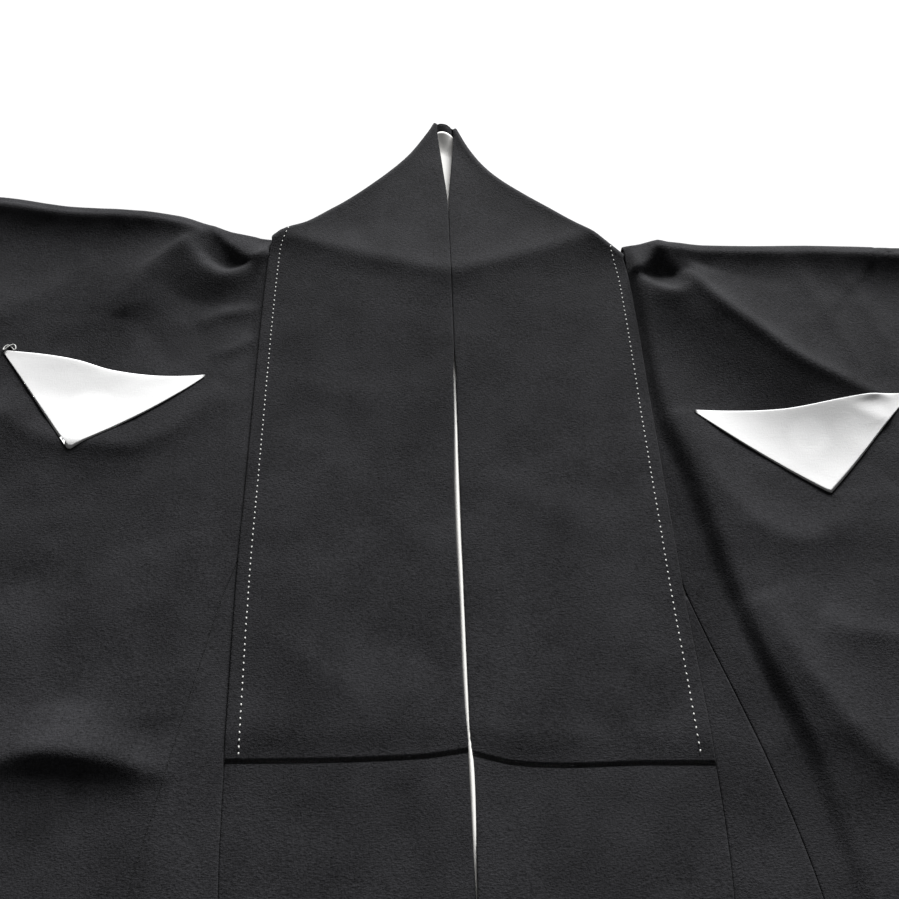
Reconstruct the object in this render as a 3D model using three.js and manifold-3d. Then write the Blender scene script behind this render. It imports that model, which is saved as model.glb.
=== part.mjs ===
// A plain black formal kimono laid out flat with its front up and its wide collar opened out.
// Millimetres, +Z up, +X to the wearer's left, +Y towards the neck. Every panel is one wall of
// lined cloth. Places are worked out from the middle of the neck on the shoulder line, and the
// whole garment is then moved so that its box stands on the origin.
import * as THREE from "three";
import { mergeVertices } from "three/addons/utils/BufferGeometryUtils.js";
import Module from "manifold-3d";

// Walls and gaps
const CLOTH = 1.5; // a panel with its lining
const COLLAR_CLOTH = 1.4; // the collar band
const OVER_COLLAR_CLOTH = 1.0; // the outer band sewn over it
const LINING_CLOTH = 1;
const PAPER = 0.6; // a crest cover, folded double
const SEAM = 0.3; // gap between two pieces that are sewn together
const COVER_GAP = 0.9; // the crest covers bridge the small hollows of the cloth

// Lengths from the shoulder line, and widths from the centre line
const BODY_LENGTH = 1600;
const COLLAR_END = 800;
const OVER_COLLAR_END = { left: 341, right: 335 };
const OKUMI_TOP = { left: 257, right: 230 };
const SLEEVE_JOIN = 230; // how much of the sleeve is sewn to the body
const SIDE_SEAM_TOP = 370; // the underarm slit ends here
const SLEEVE_DROP = 490;
const SHOULDER_HALF = 320;
const ARMHOLE_FLARE = 12 / SLEEVE_JOIN;
const CUFF_HALF = 650;
const SLEEVE_CORNER = 20;
const HAND_SEAM = { top: 232, bottom: 466, width: 3, inset: 2.5 }; // closes the sleeve's outer edge
const BACK_HALF = 300; // the back's half width at its side seam
const SIDE_TURN = 5; // the back's outermost columns
const UNDER_TURN = { starts: 322, run: 78 }; // where the front's folded side comes to reach the back's
const LINING = { half: 150, top: 60, bottom: 500 };

// Heights of the middle of each wall above the surface
const BACK_Z = CLOTH / 2;
const LINING_Z = CLOTH + SEAM + LINING_CLOTH / 2;
const FRONT_Z = 3.95;
const COLLAR_Z = 3.9;
const FRONT_LIFT = 2.2; // the wearer's left front lies on the right one
const LIFT = { full: 18, run: 16, starts: 350, over: 48 };

// The collar behind the neck: the band turns over on a slanting fold on each side, so that its
// lower layer lies on the surface and its free edges meet at a peak on the centre line.
const PEAK = 97; // from the shoulder line to where the two folds would meet
const BAND = 107; // from the centre line to the seam at the back of the neck
const BACK_NECK = PEAK - BAND;
const NECK_CLEAR = 1.5; // the back's neck edge lies this far below the collar
const NECK_LOW_Z = 2;
const NECK_HIGH_Z = 8.4;
const FOLD_RADIUS = 3.2;
const PEAK_GAP = { half: 6.2, starts: 35, run: 60 };
const NECK_RIDGE = { centre: -36, end: -4, half: 100, rise: 3.6, front: 16, back: 24 };
const NECK_RAMP = { starts: -75, run: 45 };
const NECK_TILT = -0.1; // the wearer's left end of the neck lies lower
const NECK_CORNER = { rise: 14, from: 76, run: 34 }; // and the right end is drawn up
const NECK_FADE = { fold: 30, front: 45 };
const TURN_ROOM = 2.2; // the back's last row lies this close below the turn at the shoulder,
const CORNER_DIP = { by: 2, from: 10, run: 120 }; // and dips a little beside the collar's corner
const CORNER_CLEAR = { by: 2.2, over: 12 }; // the body keeps clear of the collar's turned corner
const CORNER_Y = { left: -21, right: 1 };
const EDGE_INSET = 4.5; // the collar's lining stops this far below the free edge

// How far the slanting folds stand above a straight 45 degree line, across the neck
const NECK_OUTLINE = [
  { x: -108, rise: 10 }, { x: -98, rise: 7 }, { x: -88, rise: 6 }, { x: -69, rise: 1.5 },
  { x: -50, rise: 0.5 }, { x: -31, rise: 2 }, { x: -21, rise: 6 }, { x: -10, rise: 14 },
  { x: 0, rise: 18 }, { x: 7, rise: 14 }, { x: 14, rise: 0 }, { x: 24, rise: -9.5 },
  { x: 36, rise: -13 }, { x: 51, rise: -12.5 }, { x: 70, rise: -10.5 }, { x: 108, rise: -11 },
];

// Lines on each front by their drop below the shoulder line, as distances from the centre line:
// seam is the collar's seam and, below the collar's end, the front edge; edge is the collar's
// free edge; okumi is the seam between the front and the overlap panel.
const FRONT_LINES = {
  left: [
    { drop: -97, seam: 107, edge: 0.4, okumi: 107 }, { drop: -2, seam: 107, edge: 0.4, okumi: 107 },
    { drop: 14, seam: 109, edge: 0.4, okumi: 109 }, { drop: 40, seam: 111, edge: 0.4, okumi: 111 },
    { drop: 95, seam: 112, edge: 0.5, okumi: 112 }, { drop: 210, seam: 112, edge: 1.1, okumi: 112 },
    { drop: 236, seam: 112, edge: 1.2, okumi: 112 },
    { drop: 257, seam: 112, edge: 1.3, okumi: 113 },
    { drop: 345, seam: 113, edge: 0.6, okumi: 137 }, { drop: 400, seam: 111, edge: 0.3, okumi: 148 },
    { drop: 460, seam: 102, edge: -12, okumi: 153 }, { drop: 560, seam: 75, edge: -39, okumi: 152 },
    { drop: 680, seam: 37, edge: -77, okumi: 143 }, { drop: 800, seam: -5, edge: -119, okumi: 131 },
    { drop: 1000, seam: -9, edge: -119, okumi: 127 }, { drop: BODY_LENGTH, seam: -20, edge: -119, okumi: 124 },
  ],
  right: [
    { drop: -97, seam: 107, edge: 0.4, okumi: 107 }, { drop: -2, seam: 107, edge: 0.4, okumi: 107 },
    { drop: 13, seam: 111, edge: 0.4, okumi: 111 }, { drop: 28, seam: 115, edge: 0.4, okumi: 115 },
    { drop: 95, seam: 117, edge: 0.5, okumi: 117 }, { drop: 200, seam: 117, edge: 1.1, okumi: 117 },
    { drop: 230, seam: 117, edge: 1.2, okumi: 117 },
    { drop: 257, seam: 116.5, edge: 1.3, okumi: 124 }, { drop: 345, seam: 114, edge: 0.6, okumi: 141 },
    { drop: 400, seam: 111, edge: 0.3, okumi: 151 }, { drop: 460, seam: 102, edge: -12, okumi: 155 },
    { drop: 560, seam: 75, edge: -39, okumi: 153 }, { drop: 680, seam: 37, edge: -77, okumi: 143 },
    { drop: 800, seam: -5, edge: -119, okumi: 131 }, { drop: 1000, seam: -9, edge: -119, okumi: 127 },
    { drop: BODY_LENGTH, seam: -20, edge: -119, okumi: 124 },
  ],
};

// Where the shoulder fold lies above the shoulder line, out to the cuff
const SHOULDER_LINE = {
  left: [
    { out: 104, rise: -14 }, { out: 125, rise: -11 }, { out: 162, rise: -14 }, { out: 200, rise: -17 },
    { out: 290, rise: -21 }, { out: 420, rise: -24 }, { out: 650, rise: -28 },
  ],
  right: [
    { out: 104, rise: -3 }, { out: 143, rise: 8 }, { out: 191, rise: 22 }, { out: 247, rise: 31 },
    { out: 300, rise: 44 }, { out: 420, rise: 54 }, { out: 650, rise: 60 },
  ],
};
// The shoulder's slant dies away down the body, at once beside the neck and slowly at the armhole
const SHOULDER_FADE = [
  { out: 107, starts: 12, over: 50 }, { out: 150, starts: 30, over: 110 },
  { out: 320, starts: 230, over: 280 }, { out: 345, starts: 230, over: 280 },
];
const SEAM_BLEND = 9; // the front comes level with the collar's seam over this width
const SHOULDER_ROLL = { rise: 5.5, width: 9, cuff: 0.45 };

// The back's side and the front's folded side below the armhole, by drop
const SIDES = [
  { drop: 230, front: 332, back: 331 }, { drop: 260, front: 332, back: 327 },
  { drop: 330, front: 334, back: 313 }, { drop: 400, front: 335, back: BACK_HALF + 0.5 },
  { drop: 430, front: 335, back: BACK_HALF }, { drop: 900, front: 334, back: BACK_HALF },
  { drop: BODY_LENGTH, front: 332, back: BACK_HALF },
];

// The soft folds of the cloth. Each runs from (ax, ay) by way of (mx, my) to (bx, by), with x
// outwards from the centre line. above and below are its widths on the neck and hem sides.
const FOLDS = {
  left: [
    { ax: 110, ay: -28, mx: 136, my: -72, bx: 153, by: -34, rise: 5, above: 5, below: 7 },
    { ax: 126, ay: -12, mx: 168, my: -74, bx: 248, by: -134, rise: 7, above: 15, below: 9 },
    { ax: 110, ay: -120, mx: 122, my: -250, bx: 164, by: -400, rise: 4, above: 5, below: 10 },
    { ax: 146, ay: -262, mx: 168, my: -310, bx: 214, by: -372, rise: 4, above: 15, below: 13 },
    { ax: 210, ay: -30, mx: 226, my: -66, bx: 240, by: -118, rise: 2, above: 12, below: 12 },
    { ax: 128, ay: -190, mx: 168, my: -238, bx: 236, by: -188, rise: 3, above: 16, below: 14 },
    { ax: 345, ay: -70, mx: 440, my: -190, bx: 600, by: -250, rise: 4, above: 26, below: 20 },
    { ax: 370, ay: -440, mx: 450, my: -400, bx: 560, by: -440, rise: 3, above: 24, below: 20 },
    { ax: 215, ay: -420, mx: 235, my: -640, bx: 205, by: -900, rise: 4, above: 20, below: 24 },
    { ax: 270, ay: -820, mx: 225, my: -1080, bx: 262, by: -1330, rise: 4, above: 24, below: 20 },
    { ax: 70, ay: -960, mx: 92, my: -1180, bx: 66, by: -1420, rise: 2.5, above: 18, below: 18 },
  ],
  right: [
    { ax: 148, ay: 3, mx: 176, my: -8, bx: 198, by: -50, rise: 6, above: 8, below: 7 },
    { ax: 110, ay: -4, mx: 142, my: -46, bx: 168, by: -6, rise: 5.5, above: 5, below: 7 },
    { ax: 236, ay: -20, mx: 254, my: -50, bx: 280, by: -66, rise: 2.5, above: 9, below: 10 },
    { ax: 136, ay: -120, mx: 178, my: -176, bx: 222, by: -178, rise: 3.5, above: 16, below: 9 },
    { ax: 124, ay: -90, mx: 150, my: -180, bx: 166, by: -320, rise: 1.5, above: 5, below: 18 },
    { ax: 150, ay: -346, mx: 192, my: -318, bx: 240, by: -326, rise: 5, above: 15, below: 7 },
    { ax: 345, ay: -30, mx: 450, my: -130, bx: 610, by: -170, rise: 4, above: 26, below: 20 },
    { ax: 365, ay: -330, mx: 460, my: -370, bx: 580, by: -330, rise: 3, above: 24, below: 20 },
    { ax: 220, ay: -440, mx: 240, my: -700, bx: 214, by: -980, rise: 4, above: 22, below: 22 },
    { ax: 262, ay: -900, mx: 236, my: -1150, bx: 270, by: -1400, rise: 4, above: 22, below: 22 },
    { ax: 60, ay: -1050, mx: 82, my: -1240, bx: 62, by: -1450, rise: 2.5, above: 18, below: 18 },
  ],
};
const FOLD_STEPS = 14;

// The paper covers over the two breast crests: a square sheet folded corner to corner, given by
// its three corners, as x outwards and y.
const CREST_COVERS = {
  left: [{ x: 136, y: -143 }, { x: 261, y: -131 }, { x: 202, y: -200 }],
  right: [{ x: 145, y: -110 }, { x: 269, y: -87 }, { x: 216, y: -161 }],
};
const COVER_STEPS = 9;

// Mesh rows and columns. Pieces that are sewn together share the rows along their seam.
const FRONT_ROWS = [
  0, 9, 18, 28, 38, 50, 64, 80, 98, 120, 145, 172, 200, 230, 236, 262, 296, 315, 335, 341, 370, 400, 430,
  480, 540, 600, 660, 730, 800, 816, 960, 1120, 1280, 1440, BODY_LENGTH,
];
const BACK_ROWS = [BODY_LENGTH, 1250, 900, 600, 430, 400, 370, 335, 315, 296, 262, 230, 120, 50];
const NECK_FAN_ROWS = 4;
const BODY_COLUMNS = [0, 0.05, 0.1, 0.155, 0.215, 0.285, 0.365, 0.46, 0.57, 0.7, 0.85, 1];
const WRAP_COLUMNS = 4;
const ARC_ROWS = 5;
const OKUMI_COLUMNS = [0, 0.08, 0.16, 0.26, 0.4, 0.6, 0.8, 1];
const COLLAR_COLUMNS = 8;
const NECK_ROWS = {
  back: [0, 1 / 3, 2 / 3],
  fold: [-1, -0.6, -0.2, 0.2, 0.6, 1],
  front: [0.12, 0.26, 0.4, 0.53, 0.64, 0.73, 0.8, 0.86, 0.91, 0.955],
};
const NECK_ROWS_END = 50;
const SLEEVE_COLUMNS = 9;
const SLEEVE_ROWS = [0, 9, 20, 34, 52, 76, 106, 144, 188, 230, 280, 336, 392, 440, 470];
const SLEEVE_BACK_ROWS = [470, 336, 188, 76, 12];
const SLEEVE_TURN_ROWS = 4;

const SIDE_OF = { left: 1, right: -1 };
const HALVES = ["left", "right"];

const clamp = (v, lo, hi) => Math.min(hi, Math.max(lo, v));
const mix = (a, b, t) => a + (b - a) * t;
const smooth = (t) => {
  const s = clamp(t, 0, 1);
  return s * s * (3 - 2 * s);
};

// A smooth curve through one column of a table, read at a place along its first column.
function along(table, key, column, at) {
  const last = table.length - 1;
  const p = clamp(at, table[0][key], table[last][key]);
  let i = 0;
  while (i < last - 1 && table[i + 1][key] < p) i++;
  const slope = (k) => {
    const a = table[Math.max(k - 1, 0)];
    const b = table[Math.min(k + 1, last)];
    return (b[column] - a[column]) / (b[key] - a[key]);
  };
  const [a, b] = [table[i], table[i + 1]];
  const h = b[key] - a[key];
  const t = (p - a[key]) / h;
  const rest = (1 - t) * (1 - t);
  return (
    a[column] * (1 + 2 * t) * rest + slope(i) * h * t * rest +
    b[column] * t * t * (3 - 2 * t) + slope(i + 1) * h * t * t * (t - 1)
  );
}

const line = (half, column, drop) => along(FRONT_LINES[half], "drop", column, drop);
const shoulder = (half, out) => along(SHOULDER_LINE[half], "out", "rise", out);

// One fold's points, worked out once: a curve bent by its middle point.
function foldPoints(fold) {
  return Array.from({ length: FOLD_STEPS + 1 }, (_, k) => {
    const t = k / FOLD_STEPS;
    const [a, m, b] = [(1 - t) * (1 - t), 2 * t * (1 - t), t * t];
    return { x: a * fold.ax + m * fold.mx + b * fold.bx, y: a * fold.ay + m * fold.my + b * fold.by };
  });
}
const FOLD_CURVES = Object.fromEntries(
  HALVES.map((half) => [half, FOLDS[half].map((fold) => ({ fold, points: foldPoints(fold) }))]),
);

// How much one fold raises the cloth at a place: a soft ridge that fades at its two ends.
function foldRise({ fold, points }, x, y) {
  let best = { far: Infinity };
  for (let k = 0; k < FOLD_STEPS; k++) {
    const [p, q] = [points[k], points[k + 1]];
    const [dx, dy] = [q.x - p.x, q.y - p.y];
    const t = clamp(((x - p.x) * dx + (y - p.y) * dy) / (dx * dx + dy * dy), 0, 1);
    const [ox, oy] = [x - p.x - t * dx, y - p.y - t * dy];
    const far = Math.hypot(ox, oy);
    if (far < best.far) best = { far, place: (k + t) / FOLD_STEPS, side: dx * oy - dy * ox };
  }
  const width = best.side > 0 ? fold.above : fold.below;
  const fade = Math.sqrt(Math.sin(Math.PI * clamp(best.place, 0, 1)));
  return fold.rise * Math.exp(-((best.far / width) ** 2)) * fade;
}

// The wearer's left front rises where it lies on the right one's overlap panel or collar.
function overlapLift(x, y) {
  const drop = -y;
  const collar = -line("right", "edge", Math.min(drop, COLLAR_END));
  const okumi = -line("right", "seam", Math.max(drop, COLLAR_END));
  const under = mix(collar, okumi, smooth((drop - COLLAR_END) / LIFT.run));
  const inside = smooth((under + LIFT.full + LIFT.run - x) / LIFT.run);
  return FRONT_LIFT * inside * smooth((drop - LIFT.starts) / LIFT.over);
}

// Middle of the front wall: its rest height, the roll at the shoulder fold, the soft folds and
// the lift where the fronts overlap. Beside the collar it comes level with the collar's seam.
function frontZ(half, x, y) {
  const out = Math.abs(x);
  const fromFold = shoulder(half, out) - y;
  const cuff = mix(1, SHOULDER_ROLL.cuff, smooth((out - SHOULDER_HALF) / (CUFF_HALF - SHOULDER_HALF)));
  const roll = SHOULDER_ROLL.rise * cuff * Math.exp(-((fromFold / SHOULDER_ROLL.width) ** 2));
  const folds = FOLD_CURVES[half].reduce((sum, curve) => sum + foldRise(curve, out, y), 0);
  const lift = half === "left" ? overlapLift(x, y) : 0;
  const fromSeam = SIDE_OF[half] * x - line(half, "seam", -y);
  const beside = Math.exp(-((Math.max(fromSeam, 0) / SEAM_BLEND) ** 2));
  return mix(FRONT_Z + roll + folds + lift, collarZ(half, x, y), beside);
}

// Middle of the collar band where it lies front up, from the neck to its end.
function collarZ(half, x, y) {
  const ramp = smooth((y - NECK_RAMP.starts) / NECK_RAMP.run);
  const crest = mix(NECK_RIDGE.centre, NECK_RIDGE.end, (Math.abs(x) / NECK_RIDGE.half) ** 1.2);
  const away = y - crest;
  const ridge = Math.exp(-((away / (away < 0 ? NECK_RIDGE.front : NECK_RIDGE.back)) ** 2));
  const lift = half === "left" ? overlapLift(x, y) : 0;
  return mix(COLLAR_Z, NECK_HIGH_Z, ramp) + NECK_RIDGE.rise * ridge + lift;
}

// How far the neck's plane is drawn up or down the garment at a place: by the outline at the
// slanting folds, and less at the seam behind the neck, dying away down the front.
function neckShift(half, X, flatY, seamY) {
  const out = Math.abs(X);
  const tilt = NECK_TILT * out;
  const corner = NECK_CORNER.rise * smooth((out - NECK_CORNER.from) / NECK_CORNER.run);
  const atSeam = half === "left" ? tilt : corner;
  const atFold = along(NECK_OUTLINE, "x", "rise", X);
  const front = 1 - smooth((seamY - flatY) / NECK_FADE.front);
  return mix(atSeam, atFold, smooth((flatY - seamY) / NECK_FADE.fold)) * front;
}

// A point of the collar's middle surface: t runs along the band from the centre back, and w
// across it from the seam (0) to the free edge (1). Near the neck the band is folded over the
// slanting line on which t equals the distance from the centre line.
function bandOut(half, t, w) {
  const drop = t - PEAK;
  const gap = PEAK_GAP.half * smooth((-drop - PEAK_GAP.starts) / PEAK_GAP.run);
  const edge = drop < 0 ? gap + 0.4 : line(half, "edge", drop);
  return mix(line(half, "seam", drop) - SEAM / 2, edge, w);
}
function collarPoint(half, t, w) {
  const x = bandOut(half, t, w);
  const q = (t - x) / Math.SQRT2;
  const turn = (Math.PI / 2) * clamp(q / FOLD_RADIUS, -1, 1);
  const inwards = FOLD_RADIUS * (1 - Math.cos(turn)) + Math.max(Math.abs(q) - FOLD_RADIUS, 0);
  const foot = (t + x) / 2;
  const X = SIDE_OF[half] * (foot - inwards / Math.SQRT2);
  const flatY = PEAK - foot - inwards / Math.SQRT2;
  const Y = flatY + neckShift(half, X, flatY, PEAK - line(half, "seam", t - PEAK));
  return new THREE.Vector3(X, Y, mix(NECK_LOW_Z, collarZ(half, X, Y), (1 + Math.sin(turn)) / 2));
}

// Unit normals of a grid of points, on the side where columns turn into rows anticlockwise.
function gridNormals(grid, closed = false) {
  const rows = grid.length;
  const columns = grid[0].length;
  return grid.map((row, i) =>
    row.map((_, j) => {
      const before = closed ? grid[(i + rows - 1) % rows] : grid[Math.max(i - 1, 0)];
      const after = closed ? grid[(i + 1) % rows] : grid[Math.min(i + 1, rows - 1)];
      const down = after[j].clone().sub(before[j]);
      const across = row[Math.min(j + 1, columns - 1)].clone().sub(row[Math.max(j - 1, 0)]);
      return across.cross(down).normalize();
    }),
  );
}

function geometryOf(points, triangles) {
  const geometry = new THREE.BufferGeometry().setFromPoints(points);
  geometry.setIndex(triangles.flat());
  return mergeVertices(geometry, 1e-4);
}

// A closed wall round a grid of points, from the offset low to the offset high along its normals.
// A closed grid is a tube whose last row joins its first.
function wall(grid, low, high, closed = false) {
  const normals = gridNormals(grid, closed);
  const rows = grid.length;
  const columns = grid[0].length;
  const moved = (row, i, by) => row.map((p, j) => p.clone().addScaledVector(normals[i][j], by));
  const shift = (by) => grid.flatMap((row, i) => moved(row, i, by));
  const points = [...shift(high), ...shift(low)];
  const top = (i, j) => (i % rows) * columns + j;
  const under = (i, j) => top(i, j) + rows * columns;
  const triangles = [];
  const quad = (a, b, c, d) => triangles.push([a, b, c], [a, c, d]);
  for (let i = 0; i < (closed ? rows : rows - 1); i++) {
    for (let j = 0; j < columns - 1; j++) {
      quad(top(i, j), top(i, j + 1), top(i + 1, j + 1), top(i + 1, j));
      quad(under(i, j), under(i + 1, j), under(i + 1, j + 1), under(i, j + 1));
    }
    quad(top(i, 0), top(i + 1, 0), under(i + 1, 0), under(i, 0));
    quad(top(i + 1, columns - 1), top(i, columns - 1), under(i, columns - 1), under(i + 1, columns - 1));
  }
  for (let j = 0; !closed && j < columns - 1; j++) {
    quad(top(0, j + 1), top(0, j), under(0, j), under(0, j + 1));
    quad(top(rows - 1, j), top(rows - 1, j + 1), under(rows - 1, j + 1), under(rows - 1, j));
  }
  return geometryOf(points, triangles);
}

// The turn at the shoulder fold, for one place across.
function shoulderTurn(half, x) {
  const top = shoulder(half, Math.abs(x));
  const high = frontZ(half, x, top - SHOULDER_ROLL.width / 2);
  return { top, radius: (high - BACK_Z) / 2, middle: (high + BACK_Z) / 2 };
}
function turnPoint(half, x, k) {
  const { top, radius, middle } = shoulderTurn(half, x);
  const angle = -Math.PI / 2 + (Math.PI * k) / (ARC_ROWS + 1);
  return new THREE.Vector3(x, top - radius * (1 - Math.cos(angle)), middle + radius * Math.sin(angle));
}

const sideAt = (column, drop) =>
  drop < SLEEVE_JOIN ? SHOULDER_HALF + ARMHOLE_FLARE * drop : along(SIDES, "drop", column, drop);

// Height up the garment of a row of the body, which follows the shoulder's slant at the top.
function rowY(half, x, drop) {
  const { top, radius } = shoulderTurn(half, x);
  const fade = (column) => along(SHOULDER_FADE, "out", column, Math.abs(x));
  return top * (1 - smooth((drop - fade("starts")) / fade("over"))) - Math.max(drop, radius);
}

// Where the body's inner edge lies on the front at a given height up the garment: beside the
// collar's seam, which the neck's shift carries along.
function bodyInner(half, y) {
  let drop = -y;
  for (let k = 0; k < 6; k++) {
    const seam = line(half, "seam", drop);
    drop = neckShift(half, SIDE_OF[half] * seam, -drop, PEAK - seam) - y;
  }
  const round = CORNER_CLEAR.by * Math.exp(-(((y - CORNER_Y[half]) / CORNER_CLEAR.over) ** 2));
  return line(half, "okumi", drop) + SEAM / 2 + round;
}

// The back of one half, from the hem up to the neck and the shoulder fold. The last rows fan out:
// they start along the neck's edge, from the centre to the collar's corner, and end up the armhole.
function backRows(half) {
  const side = SIDE_OF[half];
  const across = (inner, drop, height) => {
    const outer = sideAt("back", drop) - SEAM / 2;
    const xs = BODY_COLUMNS.map((c) => mix(inner, outer - SIDE_TURN, c));
    for (let k = 1; k <= WRAP_COLUMNS; k++) xs.push(outer - SIDE_TURN + (SIDE_TURN * k) / WRAP_COLUMNS);
    return xs.map((x, j) => new THREE.Vector3(side * x, height(x, j), BACK_Z));
  };
  const level = (x, drop) => (x < BAND ? -drop : rowY(half, side * x, drop));
  const under = (x) => shoulder(half, x) - shoulderTurn(half, side * x).radius - TURN_ROOM;
  const neck = (x) => BACK_NECK - NECK_CLEAR + (half === "left" ? NECK_TILT * x : 0);
  const corner = bodyInner(half, CORNER_Y[half]);
  const beside = (x) => smooth((x - corner - CORNER_DIP.from) / CORNER_DIP.run);
  const high = (x) => mix(Math.min(neck(x) - CORNER_DIP.by, under(x)), under(x), beside(x));
  const rows = BACK_ROWS.map((drop) => across(SEAM / 2, drop, (x) => level(x, drop)));
  const last = BACK_ROWS.at(-1);
  for (let k = 0; k < NECK_FAN_ROWS; k++) {
    const inner = mix(SEAM / 2, corner, k / (NECK_FAN_ROWS - 1));
    const up = (k + 1) / NECK_FAN_ROWS;
    const height = (x, j) => (j === 0 ? neck(x) : mix(level(x, last), high(x), up));
    rows.push(across(inner, mix(last, TURN_ROOM, up), height));
  }
  return rows;
}

// One row of the front, from the collar or the overlap panel out to the side. At the armhole the
// wall ends flat. Down the underarm slit it bends under more and more, to meet the back at the side.
function frontRow(half, drop) {
  const side = SIDE_OF[half];
  const inner = bodyInner(half, rowY(half, side * (BAND + 8), drop));
  const outer = sideAt("front", drop) - SEAM / 2;
  const radius = (FRONT_Z - BACK_Z) / 2;
  const flat = radius + CLOTH / 2;
  const start = outer - flat;
  const curl = smooth((drop - SLEEVE_JOIN) / (SIDE_SEAM_TOP - SLEEVE_JOIN));
  const bend = Math.PI * Math.max(curl, 0.001);
  const bendRadius = mix(flat, Math.PI * radius, curl) / bend;
  const at = (x, z) => new THREE.Vector3(side * x, rowY(half, side * x, drop), z);
  const points = BODY_COLUMNS.map((c) => {
    const x = mix(inner, start, c);
    return at(x, frontZ(half, side * x, rowY(half, side * x, drop)));
  });
  for (let k = 1; k <= WRAP_COLUMNS; k++) {
    const angle = bend * mix(k / WRAP_COLUMNS, Math.min(k / (WRAP_COLUMNS - 1), 1), curl);
    const bent = start + bendRadius * Math.sin(angle);
    const under = k < WRAP_COLUMNS ? 0 : smooth((drop - UNDER_TURN.starts) / UNDER_TURN.run);
    const x = mix(bent, sideAt("back", drop) + SEAM / 2, under);
    const high = frontZ(half, side * x, rowY(half, side * x, drop));
    const down = Math.min(bendRadius * (1 - Math.cos(angle)), 2 * radius);
    points.push(at(x, mix(high, FRONT_Z, curl) - down));
  }
  return points;
}

// A half of the body, cut in one length from the back hem over the shoulder to the front hem.
function bodyHalf(half) {
  const first = frontRow(half, 0);
  const turn = Array.from({ length: ARC_ROWS }, (_, k) => first.map((p) => turnPoint(half, p.x, k + 1)));
  const rows = [...backRows(half), ...turn, ...FRONT_ROWS.map((drop) => frontRow(half, drop))];
  return wall(rows, -CLOTH / 2, CLOTH / 2);
}

// A sleeve: one length folded at the shoulder, a flat tube open at the armhole and at the hand,
// with its outer edge sewn below the hand opening.
function sleeve(half, join) {
  const side = SIDE_OF[half];
  const across = Array.from({ length: SLEEVE_COLUMNS + 1 }, (_, j) => j / SLEEVE_COLUMNS);
  const bottom = (x) => {
    const into = clamp(x - (CUFF_HALF - SLEEVE_CORNER), 0, SLEEVE_CORNER);
    return SLEEVE_DROP - SLEEVE_CORNER + Math.sqrt(SLEEVE_CORNER ** 2 - into ** 2);
  };
  const place = (drop, a) => mix(SHOULDER_HALF + ARMHOLE_FLARE * drop + SEAM / 2, CUFF_HALF, a);
  const level = (x, drop) => {
    const { top, radius } = shoulderTurn(half, side * x);
    return top - Math.max((drop / SLEEVE_DROP) * bottom(x), radius);
  };
  const layer = (drop, height) =>
    across.map((a) => {
      const x = place(drop, a);
      return new THREE.Vector3(side * x, level(x, drop), height(side * x, level(x, drop)));
    });
  const radius = (FRONT_Z - BACK_Z) / 2;
  const loop = SLEEVE_ROWS.map((drop) => layer(drop, (x, y) => frontZ(half, x, y)));
  for (let k = 0; k <= SLEEVE_TURN_ROWS; k++) {
    const angle = (Math.PI * k) / SLEEVE_TURN_ROWS;
    const z = mix(FRONT_Z, BACK_Z, (1 - Math.cos(angle)) / 2);
    const low = radius * (1 - Math.sin(angle));
    loop.push(layer(SLEEVE_DROP, () => z).map((p) => p.setY(p.y + low)));
  }
  SLEEVE_BACK_ROWS.forEach((drop) => loop.push(layer(drop, () => BACK_Z)));
  for (let k = 1; k <= ARC_ROWS; k++) loop.push(across.map((a) => turnPoint(half, side * place(0, a), k)));
  const tube = wall(loop, -CLOTH / 2, CLOTH / 2, true);
  const { top, bottom: low, width, inset } = HAND_SEAM;
  const seam = new THREE.BoxGeometry(width, low - top, FRONT_Z - BACK_Z);
  const y = shoulder(half, CUFF_HALF) - (low + top) / 2;
  seam.translate(side * (CUFF_HALF - inset), y, (FRONT_Z + BACK_Z) / 2);
  return join(tube, seam);
}

// The overlap panel between a front and its collar: a long sword point at the top, and the front
// edge below the collar's end.
function okumi(half) {
  const side = SIDE_OF[half];
  const rows = FRONT_ROWS.filter((drop) => drop > OKUMI_TOP[half]).map((drop) => {
    const inner = line(half, "seam", drop) + SEAM / 2;
    const outer = line(half, "okumi", drop) - SEAM / 2;
    return OKUMI_COLUMNS.map((c) => {
      const x = side * mix(inner, outer, c);
      return new THREE.Vector3(x, -drop, frontZ(half, x, -drop));
    });
  });
  return wall(rows, -CLOTH / 2, CLOTH / 2);
}

// The collar's grid from the wearer's right end round the neck to the left end. Round the neck its
// rows run beside the slanting folds, and further down they lie straight across the band.
function collarGrid(ends) {
  const across = Array.from({ length: COLLAR_COLUMNS + 1 }, (_, j) => j / COLLAR_COLUMNS);
  const turned = FOLD_RADIUS * Math.SQRT2;
  const foldAt = (half, w) => {
    let t = bandOut(half, 0, w);
    for (let k = 0; k < 4; k++) t = bandOut(half, t, w);
    return t;
  };
  const rowsOf = (half) => {
    const row = (place) => across.map((w) => collarPoint(half, place(foldAt(half, w), w), w));
    const last = PEAK + NECK_ROWS_END;
    const straight = FRONT_ROWS.filter((drop) => drop >= NECK_ROWS_END && drop <= ends[half]);
    return [
      ...NECK_ROWS.back.map((f) => row((fold) => Math.max(fold - turned, 0) * f)),
      ...NECK_ROWS.fold.map((f) => row((fold) => Math.max(fold + turned * f, (1 + f) * 0.6))),
      ...NECK_ROWS.front.map((f) => row((fold) => mix(fold + turned, last, f))),
      ...straight.map((drop) => row(() => PEAK + drop)),
    ];
  };
  return [...rowsOf("right").reverse(), ...rowsOf("left").slice(1)];
}

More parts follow.
